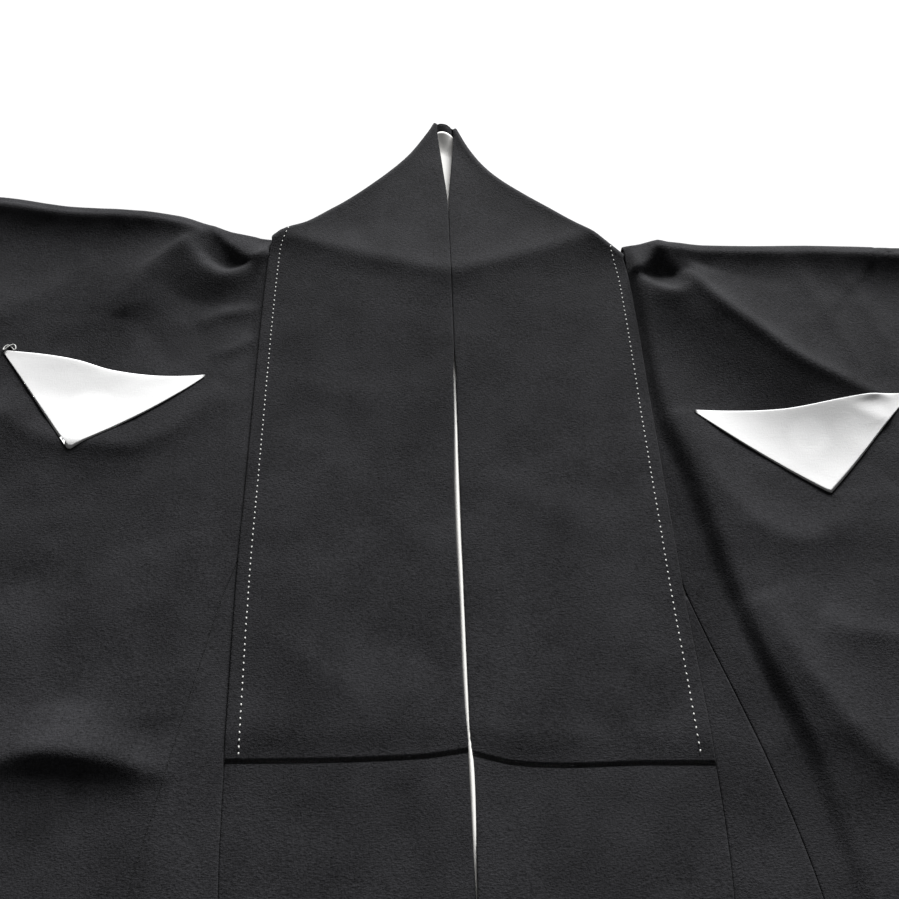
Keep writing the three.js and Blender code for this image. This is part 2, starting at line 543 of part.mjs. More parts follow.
function mainCollar() {
  return wall(collarGrid({ left: COLLAR_END, right: COLLAR_END }), -COLLAR_CLOTH / 2, COLLAR_CLOTH / 2);
}
function overCollar() {
  const low = COLLAR_CLOTH / 2 + SEAM;
  return wall(collarGrid(OVER_COLLAR_END), low, low + OVER_COLLAR_CLOTH);
}

// The lining that shows inside the collar's peak, on the band's inner side behind the neck.
function collarLining() {
  const rows = [-56, -36, -16, 0, 16, 36, 56].map((place) => {
    const [half, t] = [place < 0 ? "right" : "left", Math.abs(place)];
    const widest = 1 - (Math.max(t, PEAK_GAP.half) + FOLD_RADIUS * Math.SQRT2 + EDGE_INSET) / BAND;
    return [0, 0.25, 0.5, 0.75, 1].map((c) => collarPoint(half, t, mix(0.02, t < 1 ? 0.955 : widest, c)));
  });
  const low = -COLLAR_CLOTH / 2 - SEAM;
  return wall(rows, low - LINING_CLOTH, low);
}

// The body's lining where it shows between the two fronts.
function backLining() {
  const drops = [0, 0.25, 0.5, 0.75, 1].map((f) => mix(LINING.top, LINING.bottom, f));
  const rows = drops.map((drop) =>
    [-1, -0.5, 0, 0.5, 1].map((c) => new THREE.Vector3(c * LINING.half, -drop, LINING_Z)),
  );
  return wall(rows, -LINING_CLOTH / 2, LINING_CLOTH / 2);
}

// A paper triangle laid on the front, following its folds.
function crestCover(half) {
  const side = SIDE_OF[half];
  const [a, b, c] = CREST_COVERS[half];
  const low = CLOTH / 2 + COVER_GAP;
  const points = [];
  const at = new Map();
  for (const height of [low + PAPER, low]) {
    for (let i = 0; i <= COVER_STEPS; i++) {
      for (let j = 0; j <= COVER_STEPS - i; j++) {
        const [u, v] = [i / COVER_STEPS, j / COVER_STEPS];
        const x = side * (a.x + (b.x - a.x) * u + (c.x - a.x) * v);
        const y = a.y + (b.y - a.y) * u + (c.y - a.y) * v;
        at.set(`${height === low},${i},${j}`, points.length);
        points.push(new THREE.Vector3(x, y, frontZ(half, x, y) + height));
      }
    }
  }
  const top = (i, j) => at.get(`false,${i},${j}`);
  const under = (i, j) => at.get(`true,${i},${j}`);
  const triangles = [];
  const ring = [];
  for (let i = 0; i < COVER_STEPS; i++) {
    for (let j = 0; j < COVER_STEPS - i; j++) {
      const corners = [[i, j], [i + 1, j], [i, j + 1]];
      triangles.push(corners.map((p) => top(...p)), corners.map((p) => under(...p)).reverse());
      if (j === COVER_STEPS - i - 1) continue;
      const others = [[i + 1, j], [i + 1, j + 1], [i, j + 1]];
      triangles.push(others.map((p) => top(...p)), others.map((p) => under(...p)).reverse());
    }
  }
  for (let k = 0; k < COVER_STEPS; k++) ring.push([k, 0]);
  for (let k = 0; k < COVER_STEPS; k++) ring.push([COVER_STEPS - k, k]);
  for (let k = 0; k < COVER_STEPS; k++) ring.push([0, COVER_STEPS - k]);
  ring.forEach((p, k) => {
    const q = ring[(k + 1) % ring.length];
    triangles.push([top(...q), top(...p), under(...p)], [top(...q), under(...p), under(...q)]);
  });
  return geometryOf(points, triangles);
}

// Turns a geometry whose faces point inwards the right way round.
function outward(geometry) {
  const p = geometry.getAttribute("position");
  const index = geometry.getIndex().array;
  const corner = (k) => new THREE.Vector3().fromBufferAttribute(p, index[k]);
  let volume = 0;
  for (let k = 0; k < index.length; k += 3) {
    volume += corner(k).dot(corner(k + 1).cross(corner(k + 2)));
  }
  for (let k = 0; volume < 0 && k < index.length; k += 3) {
    [index[k + 1], index[k + 2]] = [index[k + 2], index[k + 1]];
  }
  return geometry;
}

const wasm = await Module();
wasm.setup();
function solid(geometry) {
  const plain = geometry.clone();
  plain.deleteAttribute("normal");
  plain.deleteAttribute("uv");
  const merged = outward(mergeVertices(plain, 1e-4));
  const vertProperties = merged.getAttribute("position").array;
  const triVerts = new Uint32Array(merged.getIndex().array);
  return new wasm.Manifold(new wasm.Mesh({ numProp: 3, vertProperties, triVerts }));
}
function joined(a, b) {
  const mesh = solid(a).add(solid(b)).getMesh();
  const geometry = new THREE.BufferGeometry();
  geometry.setAttribute("position", new THREE.BufferAttribute(mesh.vertProperties, 3));
  return geometry.setIndex(new THREE.BufferAttribute(mesh.triVerts, 1));
}

const BLACK_CREPE = new THREE.MeshStandardMaterial({ color: 0x2a2a2c, roughness: 0.85, metalness: 0 });
const WHITE_SILK = new THREE.MeshStandardMaterial({ color: 0xf1ede4, roughness: 0.55, metalness: 0 });
const WHITE_PAPER = new THREE.MeshStandardMaterial({ color: 0xf2f2f0, roughness: 0.9, metalness: 0 });

const kimono = new THREE.Group();
function piece(name, geometry, material) {
  const mesh = new THREE.Mesh(outward(geometry), material);
  mesh.name = name;
  kimono.add(mesh);
}
for (const half of HALVES) {
  piece(`body_${half}`, bodyHalf(half), BLACK_CREPE);
  piece(`sleeve_${half}`, sleeve(half, joined), BLACK_CREPE);
  piece(`okumi_${half}`, okumi(half), BLACK_CREPE);
  piece(`crest_cover_${half}`, crestCover(half), WHITE_PAPER);
}
piece("collar", mainCollar(), BLACK_CREPE);
piece("over_collar", overCollar(), BLACK_CREPE);
piece("collar_lining", collarLining(), WHITE_SILK);
piece("back_lining", backLining(), WHITE_SILK);

const box = new THREE.Box3().setFromObject(kimono);
const centre = box.getCenter(new THREE.Vector3());
kimono.position.set(-centre.x, -centre.y, -box.min.z);

export default kimono;
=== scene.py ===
import math

import bpy
import numpy as np
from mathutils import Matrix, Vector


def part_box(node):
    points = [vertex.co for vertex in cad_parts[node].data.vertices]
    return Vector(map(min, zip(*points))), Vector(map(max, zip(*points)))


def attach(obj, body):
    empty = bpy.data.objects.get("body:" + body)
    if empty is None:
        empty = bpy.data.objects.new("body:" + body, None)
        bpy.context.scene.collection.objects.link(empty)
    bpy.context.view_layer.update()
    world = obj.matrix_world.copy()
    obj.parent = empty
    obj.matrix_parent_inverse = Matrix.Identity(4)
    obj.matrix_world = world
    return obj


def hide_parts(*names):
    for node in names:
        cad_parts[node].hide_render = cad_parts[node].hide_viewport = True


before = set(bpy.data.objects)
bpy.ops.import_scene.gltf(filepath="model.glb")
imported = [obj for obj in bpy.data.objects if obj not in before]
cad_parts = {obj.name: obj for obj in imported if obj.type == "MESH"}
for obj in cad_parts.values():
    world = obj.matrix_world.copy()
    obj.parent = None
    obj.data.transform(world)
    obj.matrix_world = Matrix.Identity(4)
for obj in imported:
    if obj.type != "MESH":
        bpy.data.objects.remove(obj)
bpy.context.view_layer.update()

bl_info = {
    "name": "Kimono laid flat",
    "version": (1, 0, 0),
    "blender": (4, 5, 0),
    "location": "3D View > Sidebar > Kimono",
    "description": "A black formal kimono laid out flat, with its collar, linings, crest papers and basting",
    "category": "Add Mesh",
}

# Millimetres, from the middle of the neck on the shoulder line, as the garment is drafted.
MM = 0.001
LINING_LOW, LINING_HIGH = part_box("back_lining")
ORIGIN = np.array([(LINING_LOW.x + LINING_HIGH.x) / 2, LINING_LOW.y + 0.5, 0.0])

# Thickness of each cloth with its seam allowances, and the space between two pieces at a seam
CLOTH = 1.5
COLLAR_CLOTH = 1.4
OVER_COLLAR_CLOTH = 1.0
LINING_CLOTH = 1.0
SEAM = 0.3
# The cut: drops below the shoulder line, and distances out from the centre line
BODY_LENGTH = 1600
COLLAR_END = 800
OVER_COLLAR_END = {"left": 344, "right": 338.5}
OKUMI_TOP = {"left": 257, "right": 230}
SLEEVE_JOIN = 230
SIDE_SEAM_TOP = 370
UNDER_TURN = (322, 78)
SLEEVE_DROP = 490
SHOULDER_HALF = 320
ARMHOLE_FLARE = 12 / SLEEVE_JOIN
CUFF_HALF = 650
SLEEVE_CORNER = 20
BACK_HALF = 300
LINING = dict(half=150, top=60, bottom=500)
# The lining's ridge in the opening between the fronts
PUFF = dict(rise=2.9, rim=0.35, spread=0.75, ends=400, run=30)
# Heights above the floor of the middle of each layer
BACK_Z = CLOTH / 2
LINING_Z = CLOTH + SEAM + LINING_CLOTH / 2
FRONT_Z = 3.95
COLLAR_Z = 3.9
# The wearer's left front rises over the right one, below where they cross
FRONT_LIFT = 2.2
LIFT = dict(full=18, run=16, starts=350, over=48)
# The opened collar: the height of its peaks, the band's width, and the heights that it climbs to
PEAK = 97
BAND = 107
NECK_CLEAR = 1.5
NECK_LOW_Z = 2
NECK_HIGH_Z = 8.4
FOLD_RADIUS = 3.2
PEAK_GAP = dict(half=5.6, starts=12, run=67)
RIM = dict(half=7, starts=0.72, top=8.3)
FOLD_ROLL = dict(rise=1.6, from_fold=3, reach=9)
# The ridge across the neck where the collar lies on the back's neck edge
NECK_RIDGE = dict(centre=-36, end=-4, half=100, rise=3.3, front=12, back=15)
NECK_RAMP = (-150, 146)
NECK_TILT = -0.1
NECK_CORNER = dict(rise=14, start=76, run=34)
NECK_FADE = dict(fold=30, front=45)
# The back's upper edge under the shoulder fold and under the collar's corner
TURN_ROOM = 2.2
CORNER_DIP = dict(by=2, start=10, run=120)
CORNER_CLEAR = dict(by=2.2, over=12)
CORNER_Y = {"left": -21, "right": 1}
EDGE_INSET = 8.5
JOIN = 0.04
# How far the over-collar's lower end is drawn up: place across the band, draw
END_DRAW = {
    "left": [(0, -1), (0.3, 0), (0.6, 0), (0.83, 2), (1, 7)],
    "right": [(0, 1), (0.5, 0), (0.8, 0.5), (1, 3)],
}
END_DRAW_FROM = 288
END_DRAW_OVER = 50
# The over-collar draws close to the collar over this length at its ends
END_THIN = 16
END_SEAM = 0.12
END_CLOTH = 0.24
# The front comes level with the collar over this distance from the seam
SEAM_BLEND = 3.2
# The soft roll of cloth along the shoulder fold, and where it starts on each side
SHOULDER_ROLL = dict(rise=7, crest=10, back=10, front=9, cuff=0.45, apron=2, reach=34)
ROLL_STARTS = {"left": (118, 28), "right": (140, 34)}
# The looser cloth beside the collar
LOFT = dict(rise=1.8, run=26, side=290, side_run=40, drop=430, drop_run=90)
# The heights between which the folds are kept, and how softly
LOWEST = dict(height=3.75, ease=0.5)
HIGHEST = dict(height=22.4, ease=0.4)
CRUMPLE_ON_COLLAR = 0.6
SIDE_OF = {"left": 1, "right": -1}
HALVES = ("left", "right")

# How far the slanting folds stand above a straight 45 degree line: place across the neck, rise
NECK_OUTLINE = [
    (-108, 10), (-98, 7), (-88, 6), (-69, 1.5), (-50, 0.5), (-31, 2), (-21, 6), (-10, 15), (-5, 20),
    (0, 18.5), (5, 14.5), (8, 10), (14, 0), (24, -9.5), (36, -13), (51, -12.5), (70, -10.5), (108, -11),
]
# Lines down each front: drop below the shoulder line, collar seam, collar's free edge, overlap seam
LINE_COLUMNS = {"seam": 1, "edge": 2, "okumi": 3}
FRONT_LINES = {
    "left": [
        (-97, 107, 0.4, 107), (-2, 107, 0.4, 107), (14, 109, 0.4, 109), (40, 111, 0.4, 111),
        (95, 112, 0.5, 112), (210, 112, 1.1, 112), (236, 112, 1.2, 112), (257, 112, 1.3, 113),
        (345, 113, 0.6, 137), (400, 111, 0.3, 148), (460, 102, -12, 153), (560, 75, -39, 152),
        (680, 37, -77, 143), (800, -5, -119, 131), (1000, -9, -119, 127), (BODY_LENGTH, -20, -119, 124),
    ],
    "right": [
        (-97, 107, 0.4, 107), (-2, 107, 0.4, 107), (13, 111, 0.4, 111), (28, 115, 0.4, 115),
        (95, 117, 0.5, 117), (200, 117, 1.1, 117), (230, 117, 1.2, 117), (257, 116.5, 1.3, 124),
        (345, 114, 0.6, 141), (400, 111, 0.3, 151), (460, 102, -12, 155), (560, 75, -39, 153),
        (680, 37, -77, 143), (800, -5, -119, 131), (1000, -9, -119, 127), (BODY_LENGTH, -20, -119, 124),
    ],
}
# Half the opening between the collar's free edges: drop, distance from the centre line
FREE_EDGE = [
    (0, 0.12), (94, 0.12), (100, 0.2), (112, 0.75), (133, 0.8), (169, 1.2), (200, 1.6), (230, 1.45),
    (257, 1.15), (286, 1.2), (313, 0.95), (331, 0.45), (341, 0.95), (356, 1.0), (400, 0.3),
]
# How far the opening's middle lies off the centre line: drop, distance towards the wearer's left
GAP_SHIFT = [(94, 0), (133, -0.5), (200, -1.6), (257, -1.4), (313, -1.1), (345, 0), (400, 0)]
# Where the shoulder fold lies above the shoulder line: distance out, rise
SHOULDER_LINE = {
    "left": [
        (104, -14), (125, -15), (145, -20), (162, -22.5), (200, -24), (290, -25), (420, -25), (650, -27),
    ],
    "right": [(104, -3), (143, 6), (191, 19), (247, 28), (300, 41), (420, 51), (650, 57)],
}
# The shoulder's slant dies away down the body: distance out, drop where it starts to, over how much
SHOULDER_FADE = [(107, 12, 50), (150, 30, 110), (320, 230, 280), (345, 230, 280)]
# The sides below the armhole: drop, front, back
SIDES = [
    (230, 332, 331), (260, 332, 327), (330, 334, 313), (400, 335, BACK_HALF + 0.5),
    (430, 335, BACK_HALF), (900, 334, BACK_HALF), (BODY_LENGTH, 332, BACK_HALF),
]
# Folds: rise, reach on the neck side and on the hem side, then the points they run through outwards
FOLDS = {
    "left": [
        (4.2, 7, 5, [
            (120, -10), (131, -26), (142, -46), (150, -58), (160, -73), (178, -94), (196, -115),
            (216, -128), (235, -138), (252, -142),
        ]),
        (5.0, 6, 14, [
            (92, -22), (110, -38), (117, -47), (124, -56), (131, -62), (137, -64), (143, -61),
            (148, -55), (154, -42),
        ]),
        (4.8, 26, 3.5, [
            (98, -38), (108, -38), (115, -39), (121, -37), (129, -29), (137, -20), (147, -13),
        ]),
        (-3.0, 5, 6, [(116, -40), (124, -44), (132, -46), (140, -46), (147, -42)]),
        (5.8, 34, 4.2, [
            (113, 10), (114, -25), (114, -58), (114, -90), (116, -121), (120, -150), (129, -191),
            (136.5, -240), (145, -285), (157, -325), (162.5, -350), (172, -430),
        ]),
        (-1.6, 3, 3, [
            (108, -20), (108, -58), (108, -90), (110, -121), (113.5, -150), (122.5, -191), (130, -240),
            (138.5, -285), (150, -325), (155.5, -350), (165, -430),
        ]),
        (1.1, 5, 8, [
            (102, -150), (112, -170), (120, -190), (128, -220), (134, -250), (137, -290), (143, -330),
        ]),
        (3.0, 16, 12, [
            (127, -146), (131, -171), (139, -198), (158, -224), (183, -231), (209, -215), (234, -196),
        ]),
        (4.6, 14, 11, [
            (148, -262), (156, -284), (162, -300), (172, -321), (184, -340), (202, -356), (226, -370),
        ]),
        (3.2, 9, 13, [(176, -276), (189, -282), (201, -284), (214, -286), (240, -293)]),
        (-1.2, 7, 7, [(236, -142), (241, -158), (248, -178)]),
        (1.0, 8, 8, [(208, -34), (214, -48), (224, -80), (234, -116), (240, -130)]),
        (0.9, 8, 8, [(240, -38), (245, -54), (254, -85), (261, -116), (266, -132)]),
        (3.5, 24, 18, [(345, -70), (456, -175), (600, -250)]),
        (2.5, 22, 18, [(370, -440), (457, -420), (560, -440)]),
        (3.5, 18, 22, [(215, -420), (222, -650), (205, -900)]),
        (3.5, 22, 18, [(270, -820), (246, -1078), (262, -1330)]),
        (2.2, 16, 16, [(70, -960), (80, -1185), (66, -1420)]),
    ],
    "right": [
        (3.4, 9, 7, [
            (146, 6), (160, -4), (169, -10), (178, -19), (184, -27), (190, -37), (195, -50),
            (199, -68),
        ]),
        (6.2, 6, 14, [
            (72, 16), (92, 3), (106, -8), (116, -17), (124, -25), (132, -31), (140, -34), (148, -32),
            (156, -26), (163, -16), (170, -8),
        ]),
        (4.8, 26, 3.5, [
            (100, -6), (110, -12), (119, -18), (128, -19), (137, -12), (146, -3), (155, 5), (164, 12),
        ]),
        (-2.0, 5, 5, [(124, -20), (133, -24), (142, -24), (151, -19), (158, -12)]),
        (-1.6, 9, 9, [(120, -52), (150, -56), (180, -44)]),
        (1.8, 6, 5, [(118, -60), (128, -62), (140, -64), (156, -72)]),
        (1.8, 5, 5, [(114, -80), (123, -85), (130, -90), (144, -96)]),
        (-1.8, 12, 12, [(166, -106), (177, -88), (187, -74), (194, -60)]),
        (1.3, 13, 12, [(222, -20), (237, -33), (256, -49), (273, -56), (294, -61)]),
        (-1.8, 9, 6, [
            (118, -60), (123, -89), (134, -144), (143, -190), (153, -244), (158, -295), (166, -330),
            (176, -400),
        ]),
        (3.6, 14, 10, [
            (138, -116), (152, -141), (170, -155), (186, -160), (229, -154), (256, -138), (275, -124),
        ]),
        (-1.2, 14, 14, [(196, -236), (222, -240), (248, -247)]),
        (7.0, 14, 7, [(136, -345), (158, -338), (176, -334), (195, -332), (213, -334), (248, -346)]),
        (-1.5, 7, 7, [(150, -316), (149, -330), (145, -352)]),
        (-1.6, 16, 14, [(162, -300), (185, -304), (208, -296)]),
        (3.5, 24, 18, [(345, -30), (464, -115), (610, -170)]),
        (2.5, 22, 18, [(365, -330), (471, -350), (580, -330)]),
        (3.5, 20, 20, [(220, -440), (228, -705), (214, -980)]),
        (3.5, 20, 20, [(262, -900), (251, -1150), (270, -1400)]),
        (2.2, 16, 16, [(60, -1050), (72, -1244), (62, -1450)]),
    ],
    "collar": [
        (1.2, 10, 12, [(-108, -262), (-92, -279), (-66, -297), (-42, -323), (-30, -350)]),
        (-0.9, 9, 9, [(-44, -272), (-33, -280), (-18, -291), (-6, -304)]),
        (0.8, 12, 12, [(18, -180), (44, -206), (76, -214)]),
        (-0.8, 10, 10, [(40, -308), (57, -321), (72, -336)]),
        (0.7, 12, 12, [(-96, -110), (-62, -128), (-20, -120)]),
    ],
}
# Wide swells, given like the folds; their sides are steepest some way from the crest
SWELLS = {
    "left": [
        (7.0, 80, 29, [
            (122, -8), (142, -46), (160, -73), (178, -94), (196, -115), (216, -128), (242, -140),
        ]),
        (4.6, 120, 40, [
            (126, -16), (142, -46), (160, -73), (178, -94), (196, -115), (216, -128), (235, -138),
            (270, -146), (330, -152), (420, -150),
        ]),
    ],
    "right": [
        (7.5, 70, 28, [
            (140, 14), (160, -4), (178, -19), (190, -37), (197, -60), (203, -90), (207, -125),
        ]),
    ],
    "collar": [],
}
# Pieces that each path is cut into, how round a fold's tip is, and how each kind of path is read:
# its table, profile, the number of reaches after which it ends, and the power of its fade
FOLD_STEPS = 20
FOLD_TIP = 0.3
# The paper covers over the breast crests: fold's two ends and the right-angled corner
CREST_COVERS = {
    "left": [(132.5, -148), (261, -138.5), (199.5, -203.5)],
    "right": [(145, -111.5), (269, -89), (216, -163)],
}

# The middle of the blank crest under each paper
CREST_MIDDLE = {"left": (196, -166), "right": (209, -131)}
CREST = dict(radius=10.5, soft=4)
PAPER = dict(ease=0.25, ply=0.16, clear=0.24, half=0.07)
# The twist of basting thread at the left paper's outer corner
KNOT = dict(at=(-264.5, -87.5), half=(3.6, 1.9), rise=1.6, width=0.35, lag=0.6, rings=60, sides=6)
# How far each paper's folded edge bows up the garment: place along it, bow
PAPER_BOW = {
    "left": [(0, 0), (0.2, -2.5), (0.42, -4.5), (0.6, -3), (0.8, 0), (1, 0)],
    "right": [(0, 1.5), (0.08, -1.5), (0.25, -5), (0.45, -5.5), (0.62, -1.5), (0.8, 0), (1, 0)],
}


# ---------------------------------------------------------------- shapes as formulas
def mix(a, b, t):
    """a + (b - a) t."""
    return a + (b - a) * t


def smooth(t):
    """3 t^2 - 2 t^3 with t kept between 0 and 1."""
    s = np.clip(t, 0, 1)
    return s * s * (3 - 2 * s)


def along(table, column, at):
    """The cubic through a table's points, whose slope at each is the chord between its neighbours."""
    rows = np.array(table, float)
    xs, ys = rows[:, 0], rows[:, column]
    here = np.arange(len(xs))
    before, after = np.maximum(here - 1, 0), np.minimum(here + 1, len(xs) - 1)
    slope = (ys[after] - ys[before]) / (xs[after] - xs[before])
    p = np.clip(at, xs[0], xs[-1])
    i = np.clip(np.searchsorted(xs, p) - 1, 0, len(xs) - 2)
    h = xs[i + 1] - xs[i]
    t = (p - xs[i]) / h
    start = ys[i] * (1 + 2 * t) * (1 - t) ** 2 + slope[i] * h * t * (1 - t) ** 2
    return start + ys[i + 1] * t * t * (3 - 2 * t) + slope[i + 1] * h * t * t * (t - 1)


def line(half, name, drop):
    """Distance from the centre line of one of the lines down a front: the cubic through its rows."""
    return along(FRONT_LINES[half], LINE_COLUMNS[name], drop)


def shoulder(half, out):
    """Height up the garment of the shoulder fold, the cubic through its rows, at a distance out."""
    return along(SHOULDER_LINE[half], 1, out)


def point_path(points):
    """x and y as cubics of the point's number, read at even steps of that number."""
    table = [(k, x, y) for k, (x, y) in enumerate(points)]
    k = np.linspace(0, len(points) - 1, FOLD_STEPS + 1)
    return along(table, 1, k), along(table, 2, k)


def tip(distance, reach):
    """exp(s - sqrt((distance / reach)^2 + s^2)): a crest whose two sides are steepest beside its tip."""
    return np.exp(FOLD_TIP - np.sqrt((distance / reach) ** 2 + FOLD_TIP**2))


def bell(distance, reach):
    """exp(-(distance / reach)^2)."""
    return np.exp(-((distance / reach) ** 2))


PATHS = {
    half: [
        (point_path(points), rise, above, below, profile, limit, power)
        for table, profile, limit, power in ((FOLDS, tip, 6, 0.6), (SWELLS, bell, 2.6, 1))
        for rise, above, below, points in table[half]
    ]
    for half in FOLDS
}


def fold_rise(half, x, y):
    """Sum over the folds and swells of rise * profile(distance, reach) * sin(pi * place along)^power,
    where the reach is the one of the side that the point lies on."""
    total = np.zeros(np.shape(x))
    for (px, py), rise, above, below, profile, limit, power in PATHS[half]:
        reach = limit * max(above, below)
        near = (x > px.min() - reach) & (x < px.max() + reach)
        near &= (y > py.min() - reach) & (y < py.max() + reach)
        if not near.any():
            continue
        qx, qy = x[near][:, None], y[near][:, None]
        dx, dy = np.diff(px), np.diff(py)
        t = np.clip(((qx - px[:-1]) * dx + (qy - py[:-1]) * dy) / (dx * dx + dy * dy), 0, 1)
        ox, oy = qx - px[:-1] - t * dx, qy - py[:-1] - t * dy
        far = np.hypot(ox, oy)
        k = far.argmin(1)[:, None]
        side = np.take_along_axis(dx * oy - dy * ox, k, 1)[:, 0]
        place = (k[:, 0] + np.take_along_axis(t, k, 1)[:, 0]) / FOLD_STEPS
        fade = np.sin(np.pi * np.clip(place, 0, 1)) ** power
        crest = profile(np.take_along_axis(far, k, 1)[:, 0], np.where(side > 0, above, below))
        total[near] += rise * crest * fade
    return total


LAYERS, CELLS = 4, 64
LATTICE = np.random.default_rng(20).random((LAYERS, CELLS, CELLS))
# Each layer of the lattice starts elsewhere, so that two of them don't repeat each other
LAYER_SHIFT = (17.3, 5.1)
# The crumple's noises: share, cell in millimetres
CRUMPLE = ((0.45, 46), (0.28, 27), (0.1, 11))


def noise(x, y, cell, layer):
    """Random heights from -1 to 1 on a square lattice, each joined to the next by 3 t^2 - 2 t^3."""
    u, v = x / cell + LAYER_SHIFT[0] * layer, y / cell + LAYER_SHIFT[1] * layer
    i, j = np.floor(u).astype(int), np.floor(v).astype(int)
    s, t = smooth(u - i), smooth(v - j)
    at = lambda a, b: LATTICE[layer, (i + a) % CELLS, (j + b) % CELLS]
    return 2 * mix(mix(at(0, 0), at(1, 0), s), mix(at(0, 1), at(1, 1), s), t) - 1


def crumple(x, y):
    """The cloth's small unevenness: a sum of three noises, the first two turned by the angle whose
    sine is 0.6 and by the one whose sine is 0.8, each stretched another way."""
    u, v = 0.8 * x + 0.6 * y, 0.8 * y - 0.6 * x
    w, s = 0.6 * x - 0.8 * y, 0.6 * y + 0.8 * x
    places = ((u, 1.6 * v), (1.5 * w, s), (x, 1.4 * y))
    return sum(
        share * noise(*place, cell, layer) for layer, ((share, cell), place) in enumerate(zip(CRUMPLE, places)))


def overlap_lift(x, y):
    """How far the wearer's left front rises where it lies on the right one: a full lift, times a
    smooth step at the right front's edge, times a smooth step down the front."""
    drop = -y
    collar = -line("right", "edge", np.minimum(drop, COLLAR_END))
    okumi = -line("right", "seam", np.maximum(drop, COLLAR_END))
    under = mix(collar, okumi, smooth((drop - COLLAR_END) / LIFT["run"]))
    inside = smooth((under + LIFT["full"] + LIFT["run"] - x) / LIFT["run"])
    return FRONT_LIFT * inside * smooth((drop - LIFT["starts"]) / LIFT["over"])


def collar_height(half, x, y):
    """Middle of the collar band: a smooth ramp up to the neck, plus the ridge across it, the folds,
    the overlap's lift and the crumple."""
    crest = mix(NECK_RIDGE["centre"], NECK_RIDGE["end"], (np.abs(x) / NECK_RIDGE["half"]) ** 1.2)
    away = y - crest
    ramp = smooth((away - NECK_RAMP[0]) / NECK_RAMP[1])
    ridge = tip(away, np.where(away < 0, NECK_RIDGE["front"], NECK_RIDGE["back"]))
    lift = overlap_lift(x, y) if half == "left" else 0
    folds = NECK_RIDGE["rise"] * ridge + fold_rise("collar", x, y)
    return mix(COLLAR_Z, NECK_HIGH_Z, ramp) + folds + lift + CRUMPLE_ON_COLLAR * crumple(x, y)


def front_height(half, x, y):
    """Middle of the front: its rest height plus the shoulder's roll, the folds, the loft and the
    crumple, kept between the lowest and highest heights by soft limits e log(1 + exp(h / e)), plus
    the lift. Beside the seam it is mixed with the collar's height by exp(-(distance / reach)^2)."""
    out = np.abs(x)
    from_fold = shoulder(half, out) - y
    cuff = mix(1, SHOULDER_ROLL["cuff"], smooth((out - SHOULDER_HALF) / (CUFF_HALF - SHOULDER_HALF)))
    from_crest = from_fold - SHOULDER_ROLL["crest"]
    reach = np.where(from_crest < 0, SHOULDER_ROLL["back"], SHOULDER_ROLL["front"])
    roll = SHOULDER_ROLL["rise"] * tip(from_crest, reach)
    roll = (roll + SHOULDER_ROLL["apron"] * bell(from_crest, SHOULDER_ROLL["reach"])) * cuff
    roll = roll * smooth((out - ROLL_STARTS[half][0]) / ROLL_STARTS[half][1])
    lift = overlap_lift(x, y) if half == "left" else 0
    from_seam = SIDE_OF[half] * x - line(half, "seam", -y)
    beside = np.exp(-((np.maximum(from_seam, 0) / SEAM_BLEND) ** 2))
    loft = LOFT["rise"] * smooth(from_seam / LOFT["run"])
    loft = loft * smooth((LOFT["side"] + LOFT["side_run"] - out) / LOFT["side_run"])
    loft = loft * smooth((LOFT["drop"] + LOFT["drop_run"] + y) / LOFT["drop_run"])
    free = FRONT_Z + roll + fold_rise(half, out, y) + loft + crumple(x, y)
    below = HIGHEST["ease"] * np.logaddexp(0, (HIGHEST["height"] - free) / HIGHEST["ease"])
    above = HIGHEST["height"] - below - LOWEST["height"]
    eased = LOWEST["height"] + LOWEST["ease"] * np.logaddexp(0, above / LOWEST["ease"])
    return mix(eased + lift, collar_height(half, x, y), beside)


def neck_shift(half, x, flat_y, seam_y):
    """How far the neck's plane is drawn up or down: at the folds by the outline, at the seam by a
    tilt or a smooth step, mixed by a smooth step of the distance from the seam."""
    out = np.abs(x)
    corner = NECK_CORNER["rise"] * smooth((out - NECK_CORNER["start"]) / NECK_CORNER["run"])
    at_seam = NECK_TILT * out if half == "left" else corner
    at_fold = along(NECK_OUTLINE, 1, x)
    front = 1 - smooth((seam_y - flat_y) / NECK_FADE["front"])
    return mix(at_seam, at_fold, smooth((flat_y - seam_y) / NECK_FADE["fold"])) * front


def band_out(half, t, w):
    """Distance from the centre line of a place on the flat band: the mix of its seam's and its free
    edge's distances. The edges part evenly towards the peaks, and by the tables further down."""
    drop = t - PEAK
    gap = PEAK_GAP["half"] * np.clip((-drop - PEAK_GAP["starts"]) / PEAK_GAP["run"], 0, 1)
    opened = along(FREE_EDGE, 1, drop) + SIDE_OF[half] * along(GAP_SHIFT, 1, drop)
    edge = np.where(drop < 0, gap + FREE_EDGE[0][1], opened)
    edge = np.where(drop > FREE_EDGE[-1][0], line(half, "edge", drop), edge)
    return mix(line(half, "seam", drop) - JOIN / 2, edge, w)


